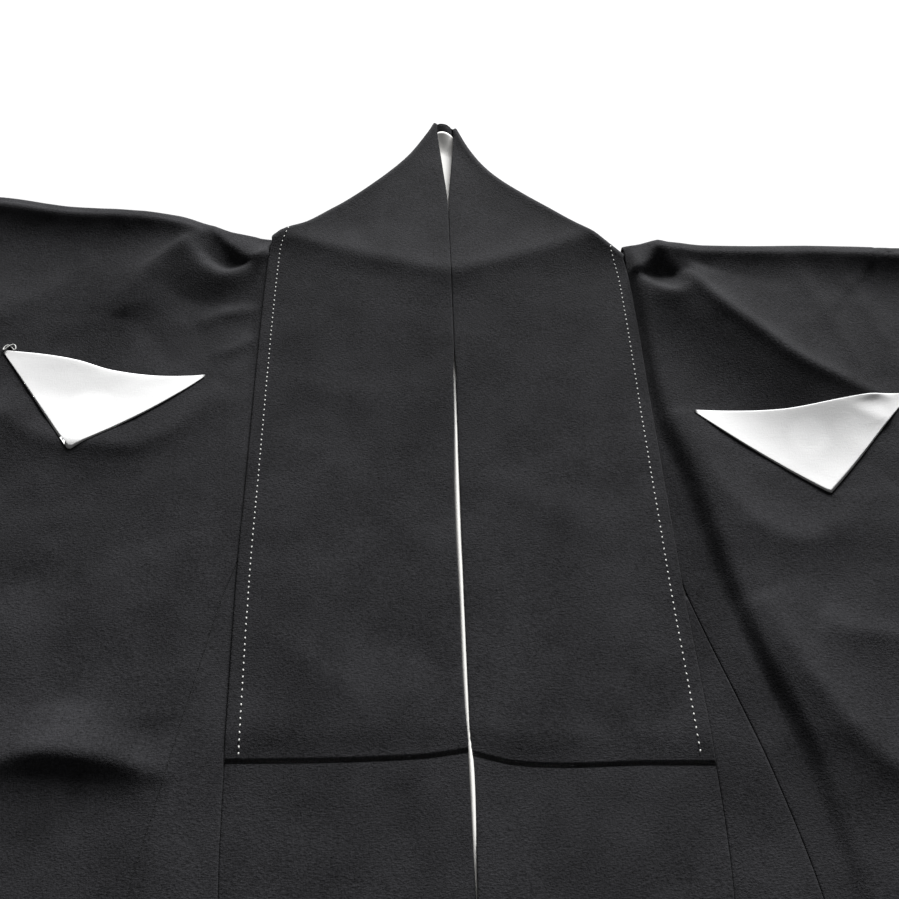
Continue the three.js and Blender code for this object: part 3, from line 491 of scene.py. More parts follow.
def collar_point(half, t, w):
    """A point of the band, which is folded over the slanting line on which t equals the distance from
    the centre line: q is the distance from that line, and a half turn of the fold's radius joins the
    layer behind the neck (q < 0) to the layer in front."""
    t, w = np.broadcast_arrays(np.asarray(t, float), np.asarray(w, float))
    x = band_out(half, t, w)
    q = (t - x) / math.sqrt(2)
    turn = (math.pi / 2) * np.clip(q / FOLD_RADIUS, -1, 1)
    inwards = FOLD_RADIUS * (1 - np.cos(turn)) + np.maximum(np.abs(q) - FOLD_RADIUS, 0)
    foot = (t + x) / 2
    X = SIDE_OF[half] * (foot - inwards / math.sqrt(2))
    flat_y = PEAK - foot - inwards / math.sqrt(2)
    Y = flat_y + neck_shift(half, X, flat_y, PEAK - line(half, "seam", t - PEAK))
    near_rim = np.exp(-((X / RIM["half"]) ** 2)) * smooth((w - RIM["starts"]) / (1 - RIM["starts"]))
    roll = FOLD_ROLL["rise"] * np.exp(-np.maximum(q - FOLD_ROLL["from_fold"], 0) / FOLD_ROLL["reach"])
    Z = mix(mix(NECK_LOW_Z, RIM["top"], near_rim), collar_height(half, X, Y) + roll, (1 + np.sin(turn)) / 2)
    return np.stack([X, Y, Z], -1)


def shoulder_turn(half, x):
    """The fold at the shoulder: its top line, radius and middle height, from the front's height."""
    top = shoulder(half, np.abs(x))
    radius = (front_height(half, x, top - SHOULDER_ROLL["crest"]) - BACK_Z) / 2
    high = front_height(half, x, top - radius)
    return top, (high - BACK_Z) / 2, (high + BACK_Z) / 2


def turn_points(half, x, count):
    """Rows round the shoulder fold: y = top - r (1 - cos a) and z = middle + r sin a, for angles a
    from the back's height up to the front's."""
    top, radius, middle = shoulder_turn(half, x)
    angle = (-math.pi / 2 + math.pi * np.arange(1, count + 1) / (count + 1))[:, None]
    y = top - radius * (1 - np.cos(angle))
    return np.stack([np.broadcast_to(x, y.shape), y, middle + radius * np.sin(angle)], -1)


def side_at(column, drop):
    """Distance from the centre line of a panel's side, at the armhole and below it."""
    flare = SHOULDER_HALF + ARMHOLE_FLARE * drop
    return np.where(drop < SLEEVE_JOIN, flare, along(SIDES, column, drop))


def row_y(half, x, drop):
    """Height up the garment of a row of the body: the shoulder fold's height, faded out down the body
    by a smooth step, minus sqrt(drop^2 + radius^2)."""
    top, radius, _ = shoulder_turn(half, x)
    starts, over = (along(SHOULDER_FADE, c, np.abs(x)) for c in (1, 2))
    return top * (1 - smooth((drop - starts) / over)) - np.hypot(drop, radius)


def body_inner(half, y):
    """Where the body's inner edge lies: beside the collar's seam, at the drop that the neck's shift
    brings to this height, found by repeating drop = shift - y."""
    drop = -np.asarray(y, float)
    for _ in range(6):
        seam = line(half, "seam", drop)
        drop = neck_shift(half, SIDE_OF[half] * seam, -drop, PEAK - seam) - y
    clear = CORNER_CLEAR["by"] * np.exp(-(((y - CORNER_Y[half]) / CORNER_CLEAR["over"]) ** 2))
    return line(half, "okumi", drop) + JOIN / 2 + clear


def fine(values, step):
    """The values with enough even steps between them that none is longer than step."""
    parts = [np.linspace(a, b, max(1, math.ceil((b - a) / step)) + 1)[:-1] for a, b in zip(values, values[1:])]
    return np.concatenate([*parts, values[-1:]])


# Places of the first points inside a rim of 1 mm, so that it comes out round
RIM_PLACES = (0, 0.12, 0.4, 1.0)


def edged(count, length, rim=1.0):
    """Places from 0 to 1 along a length, even in the middle and close together at both rims."""
    near = rim / length * np.array(RIM_PLACES)
    even = np.linspace(0, 1, count)[1:-1] * (1 - 2 * near[-1]) + near[-1]
    return np.concatenate([near, even, 1 - near[::-1]])


# ---------------------------------------------------------------- meshes
def normals_of(grid, closed):
    """Unit cross products of each point's neighbours across and down the grid."""
    if closed:
        down = np.roll(grid, -1, 0) - np.roll(grid, 1, 0)
    else:
        padded = np.concatenate([grid[:1], grid, grid[-1:]])
        down = padded[2:] - padded[:-2]
    padded = np.concatenate([grid[:, :1], grid, grid[:, -1:]], 1)
    n = np.cross(padded[:, 2:] - padded[:, :-2], down)
    return n / np.maximum(np.linalg.norm(n, axis=-1, keepdims=True), 1e-12)


def rounded(grid, closed, radius):
    """From 0 at the grid's border to 1 a radius inside it, as sqrt(1 - (1 - d / radius)^2)."""
    steps = np.linalg.norm(np.diff(grid, axis=1), axis=-1)
    left = np.concatenate([np.zeros((len(grid), 1)), np.cumsum(steps, 1)], 1)
    d = np.minimum(left, left[:, -1:] - left)
    if not closed:
        steps = np.linalg.norm(np.diff(grid, axis=0), axis=-1)
        up = np.concatenate([np.zeros((1, grid.shape[1])), np.cumsum(steps, 0)])
        d = np.minimum(d, np.minimum(up, up[-1:] - up))
    return np.sqrt(np.maximum(1 - (1 - np.clip(d / radius, 0, 1)) ** 2, 0))


def thinned(grid, over):
    """From 0 at the first and last rows to 1 once the cloth is a given length away from them."""
    steps = np.linalg.norm(np.diff(grid[:, grid.shape[1] // 2], axis=0), axis=-1)
    far = np.concatenate([[0], np.cumsum(steps)])
    return smooth(np.minimum(far, far[-1] - far) / over)[:, None, None]


def wall(grid, low, high, closed=False, radius=0.7):
    """A closed cloth round a grid: the points moved along their normals to the offsets low and high,
    which draw together at the border over a rounded rim."""
    n = normals_of(grid, closed)
    middle, half = (low + high) / 2, (high - low) / 2 * rounded(grid, closed, radius)[..., None]
    top, under = grid + n * (middle + half), grid + n * (middle - half)
    rows, columns = grid.shape[:2]
    index = np.arange(rows * columns).reshape(rows, columns)
    border = np.zeros((rows, columns), bool)
    border[:, [0, -1]] = True
    if not closed:
        border[[0, -1]] = True
    other = np.where(border, index, 0)
    other[~border] = rows * columns + np.arange((~border).sum())
    points = np.concatenate([top.reshape(-1, 3), under[~border]])
    if closed:
        index, other = np.concatenate([index, index[:1]]), np.concatenate([other, other[:1]])
    quads = lambda k: np.stack([k[:-1, :-1], k[:-1, 1:], k[1:, 1:], k[1:, :-1]], -1).reshape(-1, 4)
    return points, np.concatenate([quads(index), quads(other)[:, ::-1]])


def add_piece(name, parts, material, node=()):
    """A mesh object from (points in millimetres, quads) parts, facing outwards, in the row frame."""
    offsets = np.cumsum([0] + [len(p) for p, _ in parts])
    points = np.concatenate([p for p, _ in parts])
    quads = np.concatenate([q + k for (_, q), k in zip(parts, offsets)])
    a, b, c = (points[quads[:, k]] for k in (0, 1, 2))
    d = points[quads[:, 3]]
    volume = np.einsum("ij,ij->", a, np.cross(b, c)) + np.einsum("ij,ij->", a, np.cross(c, d))
    if volume < 0:
        quads = quads[:, ::-1]
    mesh = bpy.data.meshes.new(name)
    mesh.vertices.add(len(points))
    mesh.vertices.foreach_set("co", (points * MM + ORIGIN).astype(np.float32).ravel())
    mesh.loops.add(quads.size)
    mesh.loops.foreach_set("vertex_index", quads.astype(np.int32).ravel())
    mesh.polygons.add(len(quads))
    mesh.polygons.foreach_set("loop_start", np.arange(0, quads.size, 4, dtype=np.int32))
    mesh.polygons.foreach_set("use_smooth", np.ones(len(quads), bool))
    mesh.update(calc_edges=True)
    mesh.validate()
    mesh.materials.append(material)
    piece = bpy.data.objects.new(name, mesh)
    bpy.context.scene.collection.objects.link(piece)
    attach(piece, "root")
    for one in [node] if isinstance(node, str) else node:
        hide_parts(one)
    return piece


# ---------------------------------------------------------------- materials
def new_group(name, inputs, outputs):
    """An empty node group with float inputs and the named outputs, and its two end nodes."""
    tree = bpy.data.node_groups.new(name, "ShaderNodeTree")
    for label, value in inputs.items():
        socket = tree.interface.new_socket(label, in_out="INPUT", socket_type="NodeSocketFloat")
        socket.default_value = value
    for label in outputs:
        tree.interface.new_socket(label, in_out="OUTPUT", socket_type="NodeSocketFloat")
    return tree, tree.nodes.new("NodeGroupInput"), tree.nodes.new("NodeGroupOutput")


def math_node(tree, kind, a, b):
    """A maths node on two sockets or numbers; returns its result."""
    node = tree.nodes.new("ShaderNodeMath")
    node.operation = kind
    for slot_in, value in zip(node.inputs, (a, b)):
        if isinstance(value, (int, float)):
            slot_in.default_value = value
        else:
            tree.links.new(value, slot_in)
    return node.outputs[0]


def weighed(tree, a, by_a, b, by_b):
    """a times by_a plus b times by_b."""
    return math_node(tree, "ADD", math_node(tree, "MULTIPLY", a, by_a), math_node(tree, "MULTIPLY", b, by_b))


def noise_node(tree, stretch, scale, detail=2.0, rough=0.5):
    """Noise on the object's own coordinates, stretched by three factors, its scale a number or a
    socket; returns its value."""
    place = tree.nodes.new("ShaderNodeTexCoord")
    mapping = tree.nodes.new("ShaderNodeMapping")
    mapping.inputs["Scale"].default_value = stretch
    tree.links.new(place.outputs["Object"], mapping.inputs["Vector"])
    node = tree.nodes.new("ShaderNodeTexNoise")
    if isinstance(scale, float):
        node.inputs["Scale"].default_value = scale
    else:
        tree.links.new(scale, node.inputs["Scale"])
    node.inputs["Detail"].default_value = detail
    node.inputs["Roughness"].default_value = rough
    tree.links.new(mapping.outputs[0], node.inputs["Vector"])
    return node.outputs["Fac"]


def crepe_grain_group():
    """Crepe's grain: fine irregular wrinkles, painted into the colour too as shade in their hollows and light
    on their crests, and a wide soft mottling.
    """
    inputs = {"Fine Scale": 700.0, "Mottle Scale": 26.0, "Speckle": 0.5}
    tree, start, end = new_group("CrepeGrain", inputs, ["Height", "Shade"])
    across = noise_node(tree, (1.0, 2.1, 1.0), start.outputs["Fine Scale"], 3.0, 0.7)
    second = noise_node(tree, (2.3, 1.0, 1.0), start.outputs["Fine Scale"], 2.0, 0.6)
    mottle = noise_node(tree, (1.0, 1.0, 1.0), start.outputs["Mottle Scale"], 4.0, 0.6)
    height = weighed(tree, across, 0.6, second, 0.4)
    tree.links.new(height, end.inputs["Height"])
    # Painted shade and light: this share of the colour follows the wrinkles' height, darker in their hollows
    # and lighter on their crests; the mottle is random tone.
    painted_crinkle_shade = math_node(tree, "MULTIPLY", height, start.outputs["Speckle"])
    whole = math_node(tree, "SUBTRACT", 1.0, start.outputs["Speckle"])
    shade = math_node(tree, "ADD", painted_crinkle_shade, math_node(tree, "MULTIPLY", mottle, whole))
    tree.links.new(shade, end.inputs["Shade"])
    return tree


def fibre_group():
    """Hand-made paper: long fibres crossing two ways, and cloudy thick and thin places."""
    tree, _, end = new_group("PaperFibre", {}, ["Fibre", "Cloud"])
    one = noise_node(tree, (6.0, 1.0, 1.0), 240.0, 4.0, 0.7)
    two = noise_node(tree, (1.0, 5.0, 1.0), 260.0, 4.0, 0.7)
    tree.links.new(math_node(tree, "MAXIMUM", one, two), end.inputs["Fibre"])
    tree.links.new(noise_node(tree, (1.0, 1.3, 1.0), 120.0, 5.0, 0.65), end.inputs["Cloud"])
    return tree


def ramp(tree, source, dark, light, low=0.3, high=0.7):
    """A colour between dark and light as the source goes from low to high."""
    node = tree.nodes.new("ShaderNodeValToRGB")
    node.color_ramp.elements[0].position, node.color_ramp.elements[1].position = low, high
    node.color_ramp.elements[0].color, node.color_ramp.elements[1].color = (*dark, 1), (*light, 1)
    tree.links.new(source, node.inputs[0])
    return node.outputs[0]


def new_material(name, roughness, sheen=0.0, sheen_roughness=0.5):
    """A Principled material and its tree."""
    material = bpy.data.materials.new(name)
    material.use_nodes = True
    tree = material.node_tree
    shader = tree.nodes["Principled BSDF"]
    shader.inputs["Roughness"].default_value = roughness
    shader.inputs["Sheen Weight"].default_value = sheen
    shader.inputs["Sheen Roughness"].default_value = sheen_roughness
    shader.inputs["Specular IOR Level"].default_value = 0.25
    return material, tree, shader


def add_bump(tree, shader, height, strength, distance):
    """A bump of the given height in metres under the shader's normal."""
    node = tree.nodes.new("ShaderNodeBump")
    node.inputs["Strength"].default_value = strength
    node.inputs["Distance"].default_value = distance
    tree.links.new(height, node.inputs["Height"])
    tree.links.new(node.outputs[0], shader.inputs["Normal"])


def group_node(tree, group, **values):
    """A group placed in a material with its own values."""
    node = tree.nodes.new("ShaderNodeGroup")
    node.node_tree = group
    for label, value in values.items():
        node.inputs[label.replace("_", " ")].default_value = value
    return node


def scaled(colour, by):
    """A colour with each part multiplied."""
    return tuple(min(1.0, c * by) for c in colour)


def cloth_material(name, colour, grain, depth):
    """Black crepe: a charcoal that varies a little by a random mottle and by painted shade and light of its
    crinkles, a dry surface and a crinkled grain.
    """
    material, tree, shader = new_material(name, 0.95, 0.04, 0.35)
    shader.inputs["Specular IOR Level"].default_value = 0.08
    node = group_node(tree, grain, Fine_Scale=620.0, Mottle_Scale=30.0, Speckle=0.72)
    # Painted shade in the crinkles' hollows and painted light on their crests, mixed with the random mottle,
    # set the charcoal's colour.
    shade = ramp(tree, node.outputs["Shade"], scaled(colour, 0.1), scaled(colour, 1.9))
    tree.links.new(shade, shader.inputs["Base Color"])
    add_bump(tree, shader, node.outputs["Height"], 0.7, depth)
    return material


def silk_material(name, colour, grain):
    """White lining silk: smoother, with a faint crossing grain."""
    material, tree, shader = new_material(name, 0.5, 0.1)
    node = group_node(tree, grain, Fine_Scale=1100.0, Mottle_Scale=40.0, Speckle=0.3)
    # Faint painted shade in the grain's hollows and painted light on its crests, mixed with a random mottle,
    # set the silk's colour.
    tree.links.new(ramp(tree, node.outputs["Shade"], scaled(colour, 0.95), colour), shader.inputs["Base Color"])
    add_bump(tree, shader, node.outputs["Height"], 0.25, 0.00012)
    return material


def paper_material(name, colour, fibre):
    """Soft white paper with fibres and cloudy places, whiter where the blank crest lies under it."""
    material, tree, shader = new_material(name, 0.9)
    node = group_node(tree, fibre)
    crest = tree.nodes.new("ShaderNodeAttribute")
    crest.attribute_name = "crest"
    shade = weighed(tree, node.outputs["Cloud"], 0.3, crest.outputs["Fac"], 0.8)
    tree.links.new(ramp(tree, shade, scaled(colour, 0.88), colour, 0.05, 0.8), shader.inputs["Base Color"])
    add_bump(tree, shader, node.outputs["Fibre"], 0.5, 0.0002)
    return material


def thread_material(name, colour):
    """Twisted white cotton thread: a fine noise bumps it, and the same noise is painted into the colour as
    shade and light of its turns.
    """
    material, tree, shader = new_material(name, 0.7)
    twist_bump_and_shade = noise_node(tree, (1.0, 1.0, 1.0), 1500.0, 1.0)
    # Painted shade and light of the twist: the colour is darker where the bump is low.
    tree.links.new(ramp(tree, twist_bump_and_shade, scaled(colour, 0.8), colour), shader.inputs["Base Color"])
    add_bump(tree, shader, twist_bump_and_shade, 0.4, 0.0001)
    return material


# ---------------------------------------------------------------- sizes and colours a user changes
def colour_property(name, description, default):
    """A colour that a user may change."""
    return bpy.props.FloatVectorProperty(name=name, description=description, subtype="COLOR", default=default)


def length_property(name, description, default):
    """A length in metres that a user may change."""
    return bpy.props.FloatProperty(
        name=name, description=description, default=default, unit="LENGTH", subtype="DISTANCE", precision=5)


class KimonoColours(bpy.types.PropertyGroup):
    cloth: colour_property("Cloth", "Colour of the crepe", (0.0222, 0.0222, 0.0242))
    lining: colour_property("Lining", "Colour of the lining silk", (0.86, 0.85, 0.82))
    paper: colour_property("Paper", "Colour of the crest papers", (0.93, 0.93, 0.93))
    thread: colour_property("Thread", "Colour of the basting thread", (0.7, 0.7, 0.68))


class KimonoSizes(bpy.types.PropertyGroup):
    grain: length_property("Grain depth", "Height of the crepe's crinkles", 0.0009)
    stitch: length_property("Stitch", "Length of one basting stitch", 0.0013)
    pitch: length_property("Stitch spacing", "From one basting stitch to the next", 0.0034)
    thread: length_property("Thread", "Width of the basting thread", 0.00075)
    inset: length_property("Basting inset", "From the collar's seam to the basting", 0.0065)


MATERIALS = {}


def material_of(name):
    """The object's materials, each made when it is first asked for."""
    if not MATERIALS:
        colours, sizes = bpy.context.scene.kimono_colours, bpy.context.scene.kimono_sizes
        grain, fibre = crepe_grain_group(), fibre_group()
        MATERIALS.update(
            crepe=cloth_material("BlackCrepe", tuple(colours.cloth), grain, sizes.grain),
            silk=silk_material("LiningSilk", tuple(colours.lining), grain),
            paper=paper_material("CrestPaper", tuple(colours.paper), fibre),
            thread=thread_material("BastingThread", tuple(colours.thread)),
        )
    return MATERIALS[name]


# ---------------------------------------------------------------- pieces
# Spacing of the rows: beside the neck and shoulders, in the okumi, and below the fine part
STEP = 2.6
OKUMI_STEP = 3.0
COARSE = 18.0
VIEW_DROP = 400
# Number of columns across each panel, and about how wide it is
COLUMNS = dict(body=(84, 220.0), sleeve=(70, 325.0), okumi=(24, 60.0), collar=(44, 110.0))
# Rows round the shoulder fold, and columns round the body's side, the last few of them underneath
TURN_ROWS = 9
WRAP_STEPS = 12
UNDER_STEPS = 3
# The body's rows are level with the place this far outside the collar's band
BESIDE_BAND = 8.0
# The back: rows up from the hem, finer ones up to a drop, then rows that fan out to the neck
BACK_ROWS = dict(step=30.0, fine_from=430.0, fine_step=12.0, fan_from=50.0, fan=12)
SLEEVE_ROWS = dict(front=4.0, bottom=10, back=16.0, back_ends=12.0)
# The collar: rows of one half behind the neck, round the fold and in front of it, up to a drop
COLLAR_ROWS = dict(back=34, turn=15, front=58, straight_from=50.0, least=0.6)
# The linings' rows and columns, and how far the collar's one reaches round the neck
COLLAR_SILK = dict(half=56, rows=113, columns=90, seam=0.02)
BODY_SILK = dict(columns=24, fine_half=3, fine_columns=13, rows=111)
# The crest papers: places along and across, and how far off the cloth's height is read too
PAPER_ROWS = dict(first=0.012, last=0.985, count=60, crease=0.03, crease_count=7, leaf=24, beside=16)
# The stitches: where the last one ends, how much they stray, and the rings and sides of one
BASTING = dict(short=3, samples=1400, band=110, clear=0.05, rings=6, sides=8, flat=0.6)
STRAY = dict(along=((0.25, 1.7), (0.2, 0.37)), lean=(0.25, 2.9))


def rows_down(first, last, step):
    """Drops from the first to the last, a step apart down to the end of the fine part, then coarse."""
    finer = fine([first, float(min(VIEW_DROP, last))], step)
    if last > VIEW_DROP:
        return np.concatenate([finer, fine([VIEW_DROP, float(last)], COARSE)[1:]])
    return finer


def body_grid(half):
    """Rows from the back's hem over the shoulder to the front's hem, each from the centre to the side.
    The side is an arc of a circle, z = height - r (1 - cos a) and x = start + r sin a, which is a
    quarter roll at the sleeve and a half turn under the front below it."""
    side = SIDE_OF[half]
    drop = rows_down(0.0, BODY_LENGTH, STEP)[:, None]
    first_y = row_y(half, np.full_like(drop, side * (BAND + BESIDE_BAND)), drop)
    inner = body_inner(half, first_y)
    radius = (FRONT_Z - BACK_Z) / 2
    flat = radius + CLOTH / 2
    start = side_at(1, drop) - SEAM / 2 - flat
    c = edged(*COLUMNS["body"])[:1 - len(RIM_PLACES)][None, :]
    c = c / c.max()
    x = side * mix(inner, start, c)
    y = row_y(half, x, drop)
    panel = np.stack([x, y, front_height(half, x, y)], -1)
    k = np.arange(1, WRAP_STEPS + 1)[None, :]
    curl = smooth((drop - SLEEVE_JOIN) / (SIDE_SEAM_TOP - SLEEVE_JOIN))
    bend = math.pi * np.maximum(curl, 0.001)
    bend_radius = mix(flat, math.pi * radius, curl) / bend
    turns = WRAP_STEPS - UNDER_STEPS
    angle = bend * mix(k / WRAP_STEPS, np.minimum(k / turns, 1), curl)
    bent = start + bend_radius * np.sin(angle)
    under = smooth((drop - UNDER_TURN[0]) / UNDER_TURN[1]) * np.clip((k - turns) / (WRAP_STEPS - turns), 0, 1)
    wx = side * mix(bent, side_at(2, drop) + SEAM / 2, under)
    wy = row_y(half, wx, drop)
    down = np.minimum(bend_radius * (1 - np.cos(angle)), 2 * radius)
    wz = mix(front_height(half, wx, wy), FRONT_Z, curl) - down
    front = np.concatenate([panel, np.stack([wx, wy, wz], -1)], 1)
    turn = turn_points(half, front[0, :, 0], TURN_ROWS)
    return np.concatenate([back_grid(half, front.shape[1]), turn, front])


def back_grid(half, columns):
    """The back from the hem up to the neck and the shoulder fold, level on the floor; its last rows
    are mixes of the last straight row and the upper edge, and fan out from the neck to the armhole."""
    side = SIDE_OF[half]
    fan_from = BACK_ROWS["fan_from"]
    up_from_hem = fine([0.0, BODY_LENGTH - BACK_ROWS["fine_from"]], BACK_ROWS["step"])
    finer = fine([fan_from, BACK_ROWS["fine_from"]], BACK_ROWS["fine_step"])[::-1]
    drops = np.concatenate([BODY_LENGTH - up_from_hem, finer[1:]])
    c = np.linspace(0, 1, columns)[None, :]
    flare = lambda d: side_at(2, d) - SEAM / 2

    def level(x, drop):
        """Straight across beside the neck, and level with the front's rows outside it."""
        return np.where(x < BAND, -drop, row_y(half, side * x, drop))

    def under(x):
        """A little below the shoulder fold's own turn."""
        top, radius, _ = shoulder_turn(half, side * x)
        return top - radius - TURN_ROOM

    neck = lambda x: PEAK - BAND - NECK_CLEAR + (NECK_TILT * x if half == "left" else 0 * x)
    corner = float(body_inner(half, np.array(float(CORNER_Y[half]))))
    beside = lambda x: smooth((x - corner - CORNER_DIP["start"]) / CORNER_DIP["run"])
    high = lambda x: mix(np.minimum(neck(x) - CORNER_DIP["by"], under(x)), under(x), beside(x))
    x = mix(SEAM / 2, flare(drops[:, None]), c)
    y = level(x, drops[:, None])
    rows = [np.stack([side * x, y], -1)]
    fan = BACK_ROWS["fan"]
    k = np.arange(fan)[:, None]
    inner = mix(SEAM / 2, corner, k / (fan - 1))
    up = (k + 1) / fan
    x = mix(inner, flare(mix(fan_from, TURN_ROOM, up)), c)
    y = mix(level(x, fan_from), high(x), up)
    y[:, 0] = neck(x[:, 0])
    rows.append(np.stack([side * x, y], -1))
    flat = np.concatenate(rows)
    return np.concatenate([flat, np.full((*flat.shape[:2], 1), BACK_Z)], -1)


def sleeve_grid(half):
    """A tube of rows round the sleeve: down the front, round the bottom, up the back, over the top.
    The bottom's corner at the cuff is a quarter circle, and its edge a half circle in section."""
    side = SIDE_OF[half]
    a = edged(*COLUMNS["sleeve"])[None, :]
    straight = float(SLEEVE_DROP - SLEEVE_CORNER)

    def bottom(x):
        """Where the sleeve ends: a quarter circle, centre + sqrt(corner^2 - into^2), at the cuff."""
        into = np.clip(x - (CUFF_HALF - SLEEVE_CORNER), 0, SLEEVE_CORNER)
        return SLEEVE_DROP - SLEEVE_CORNER + np.sqrt(SLEEVE_CORNER**2 - into**2)

    def place(drop):
        """The mix of the armhole's and the cuff's distance from the centre line."""
        return mix(SHOULDER_HALF + ARMHOLE_FLARE * drop + SEAM / 2, CUFF_HALF, a)

    def flat(drop):
        """x and y of a row, its drop stretched so that the last one lies on the bottom's line."""
        x = place(drop)
        top, radius, _ = shoulder_turn(half, side * x)
        return side * x, top - np.hypot(drop / SLEEVE_DROP * bottom(x), radius)

    radius = (FRONT_Z - BACK_Z) / 2
    x, y = flat(fine([0.0, straight], SLEEVE_ROWS["front"])[:, None])
    rows = [np.stack([x, y, front_height(half, x, y)], -1)]
    angle = (math.pi * np.arange(SLEEVE_ROWS["bottom"] + 1) / SLEEVE_ROWS["bottom"])[:, None]
    x, y = flat(np.full_like(angle, SLEEVE_DROP))
    z = mix(FRONT_Z, BACK_Z, (1 - np.cos(angle)) / 2)
    rows.append(np.stack([x, y + radius * (1 - np.sin(angle)), np.broadcast_to(z, x.shape)], -1))
    x, y = flat(fine([SLEEVE_ROWS["back_ends"], straight], SLEEVE_ROWS["back"])[::-1][:, None])
    rows.append(np.stack([x, y, np.full(x.shape, BACK_Z)], -1))
    rows.append(turn_points(half, side * place(0.0)[0], TURN_ROWS))
    return np.concatenate(rows)


def okumi_grid(half):
    """The overlap panel: rows straight across from the collar's seam to the front's seam."""
    side = SIDE_OF[half]
    drop = rows_down(OKUMI_TOP[half] + CLOTH, BODY_LENGTH, OKUMI_STEP)[:, None]
    inner, outer = line(half, "seam", drop) + JOIN / 2, line(half, "okumi", drop) - JOIN / 2
    x = side * mix(inner, outer, edged(*COLUMNS["okumi"])[None, :])
    y = np.broadcast_to(-drop, x.shape)
    return np.stack([x, y, front_height(half, x, y)], -1)


def collar_grid(ends, across):
    """The band from the wearer's right end round the neck to the left end. Its rows are the fold's own
    places times a share behind the neck, moved with the fold's turn beside it, then mixed down to
    rows straight across the band."""
    turned = FOLD_RADIUS * math.sqrt(2)
    halves = []
    for half in HALVES:
        fold = band_out(half, 0.0, across)
        for _ in range(4):
            fold = band_out(half, fold, across)
        back = np.linspace(0, 1, COLLAR_ROWS["back"])[:-1, None]
        turn = np.linspace(-1, 1, COLLAR_ROWS["turn"])[:, None]
        front = np.linspace(0, 1, COLLAR_ROWS["front"])[1:-1, None]
        straight = rows_down(COLLAR_ROWS["straight_from"], ends[half], STEP)[:, None]
        if ends is OVER_COLLAR_END:
            drawn = along(END_DRAW[half], 1, across)
            straight = straight - drawn * smooth((straight - END_DRAW_FROM) / END_DRAW_OVER)
        t = np.concatenate([
            np.maximum(fold - turned, 0) * back,
            np.maximum(fold + turned * turn, (1 + turn) * COLLAR_ROWS["least"]),
            mix(fold + turned, PEAK + COLLAR_ROWS["straight_from"], front),
            PEAK + np.broadcast_to(straight, (len(straight), len(across))),
        ])
        halves.append(collar_point(half, t, across[None, :]))
    return np.concatenate([halves[1][::-1], halves[0][1:]])


class KIMONO_OT_body(bpy.types.Operator):
    """The two body panels, each cut in one length over the shoulder"""

    bl_idname = "kimono.body"
    bl_label = "Body panels"

    def execute(self, context):
        for half in HALVES:
            part = wall(body_grid(half), -CLOTH / 2, CLOTH / 2)
            piece = add_piece(f"body_panel_{half}", [part], material_of("crepe"), f"body_{half}")
        return {"FINISHED"}


class KIMONO_OT_sleeves(bpy.types.Operator):
    """The two sleeves, each folded at the shoulder"""

    bl_idname = "kimono.sleeves"
    bl_label = "Sleeves"

    def execute(self, context):
        for half in HALVES:
            part = wall(sleeve_grid(half), -CLOTH / 2, CLOTH / 2, closed=True)
            piece = add_piece(f"sleeve_cloth_{half}", [part], material_of("crepe"), f"sleeve_{half}")
        return {"FINISHED"}


class KIMONO_OT_okumi(bpy.types.Operator):
    """The overlap panels with their sword points"""

    bl_idname = "kimono.okumi"
    bl_label = "Overlap panels"

    def execute(self, context):
        for half in HALVES:
            part = wall(okumi_grid(half), -CLOTH / 2, CLOTH / 2)
            piece = add_piece(f"okumi_cloth_{half}", [part], material_of("crepe"), f"okumi_{half}")
        return {"FINISHED"}


class KIMONO_OT_collar(bpy.types.Operator):
    """The collar and the over-collar sewn outside it"""

    bl_idname = "kimono.collar"
    bl_label = "Collar and over-collar"

    def execute(self, context):
        across = edged(*COLUMNS["collar"])
        grid = collar_grid(dict.fromkeys(HALVES, COLLAR_END), across)
        part = wall(grid, -COLLAR_CLOTH / 2, COLLAR_CLOTH / 2)
        piece = add_piece("collar_band", [part], material_of("crepe"), "collar")
        grid = collar_grid(OVER_COLLAR_END, across)
        whole = thinned(grid, END_THIN)
        low = COLLAR_CLOTH / 2 + SEAM * mix(END_SEAM, 1, whole)
        part = wall(grid, low, low + OVER_COLLAR_CLOTH * mix(END_CLOTH, 1, whole), radius=0.9)
        piece = add_piece("over_collar_band", [part], material_of("crepe"), "over_collar")
        return {"FINISHED"}


def collar_silk_grid():
    """Rows of the band's own points from one side of the neck to the other, short of its free edge."""
    place = np.linspace(-COLLAR_SILK["half"], COLLAR_SILK["half"], COLLAR_SILK["rows"])[:, None]
    w = np.linspace(COLLAR_SILK["seam"], 1 - EDGE_INSET / BAND, COLLAR_SILK["columns"])
    right, left = place[place[:, 0] < 0], place[place[:, 0] >= 0]
    return np.concatenate([collar_point("right", -right, w), collar_point("left", left, w)])


def body_silk_grid():
    """A level rectangle with a ridge exp(-(distance / width)^2) along the middle of the opening, whose
    width grows with the opening, faded out by a smooth step at its lower end."""
    fine_half = BODY_SILK["fine_half"]
    finer = np.linspace(0, fine_half, BODY_SILK["fine_columns"])[1:-1]
    columns = np.concatenate([np.linspace(fine_half, LINING["half"], BODY_SILK["columns"]), finer])
    columns = np.sort(np.concatenate([columns, -columns, [0]]))
    x, y = np.meshgrid(columns, -np.linspace(LINING["top"], LINING["bottom"], BODY_SILK["rows"]))
    width = PUFF["rim"] + PUFF["spread"] * along(FREE_EDGE, 1, -y)
    puff = PUFF["rise"] * bell(x - along(GAP_SHIFT, 1, -y), width)
    puff = puff * smooth((y + PUFF["ends"]) / PUFF["run"])
    return np.stack([x, y, LINING_Z + puff], -1)


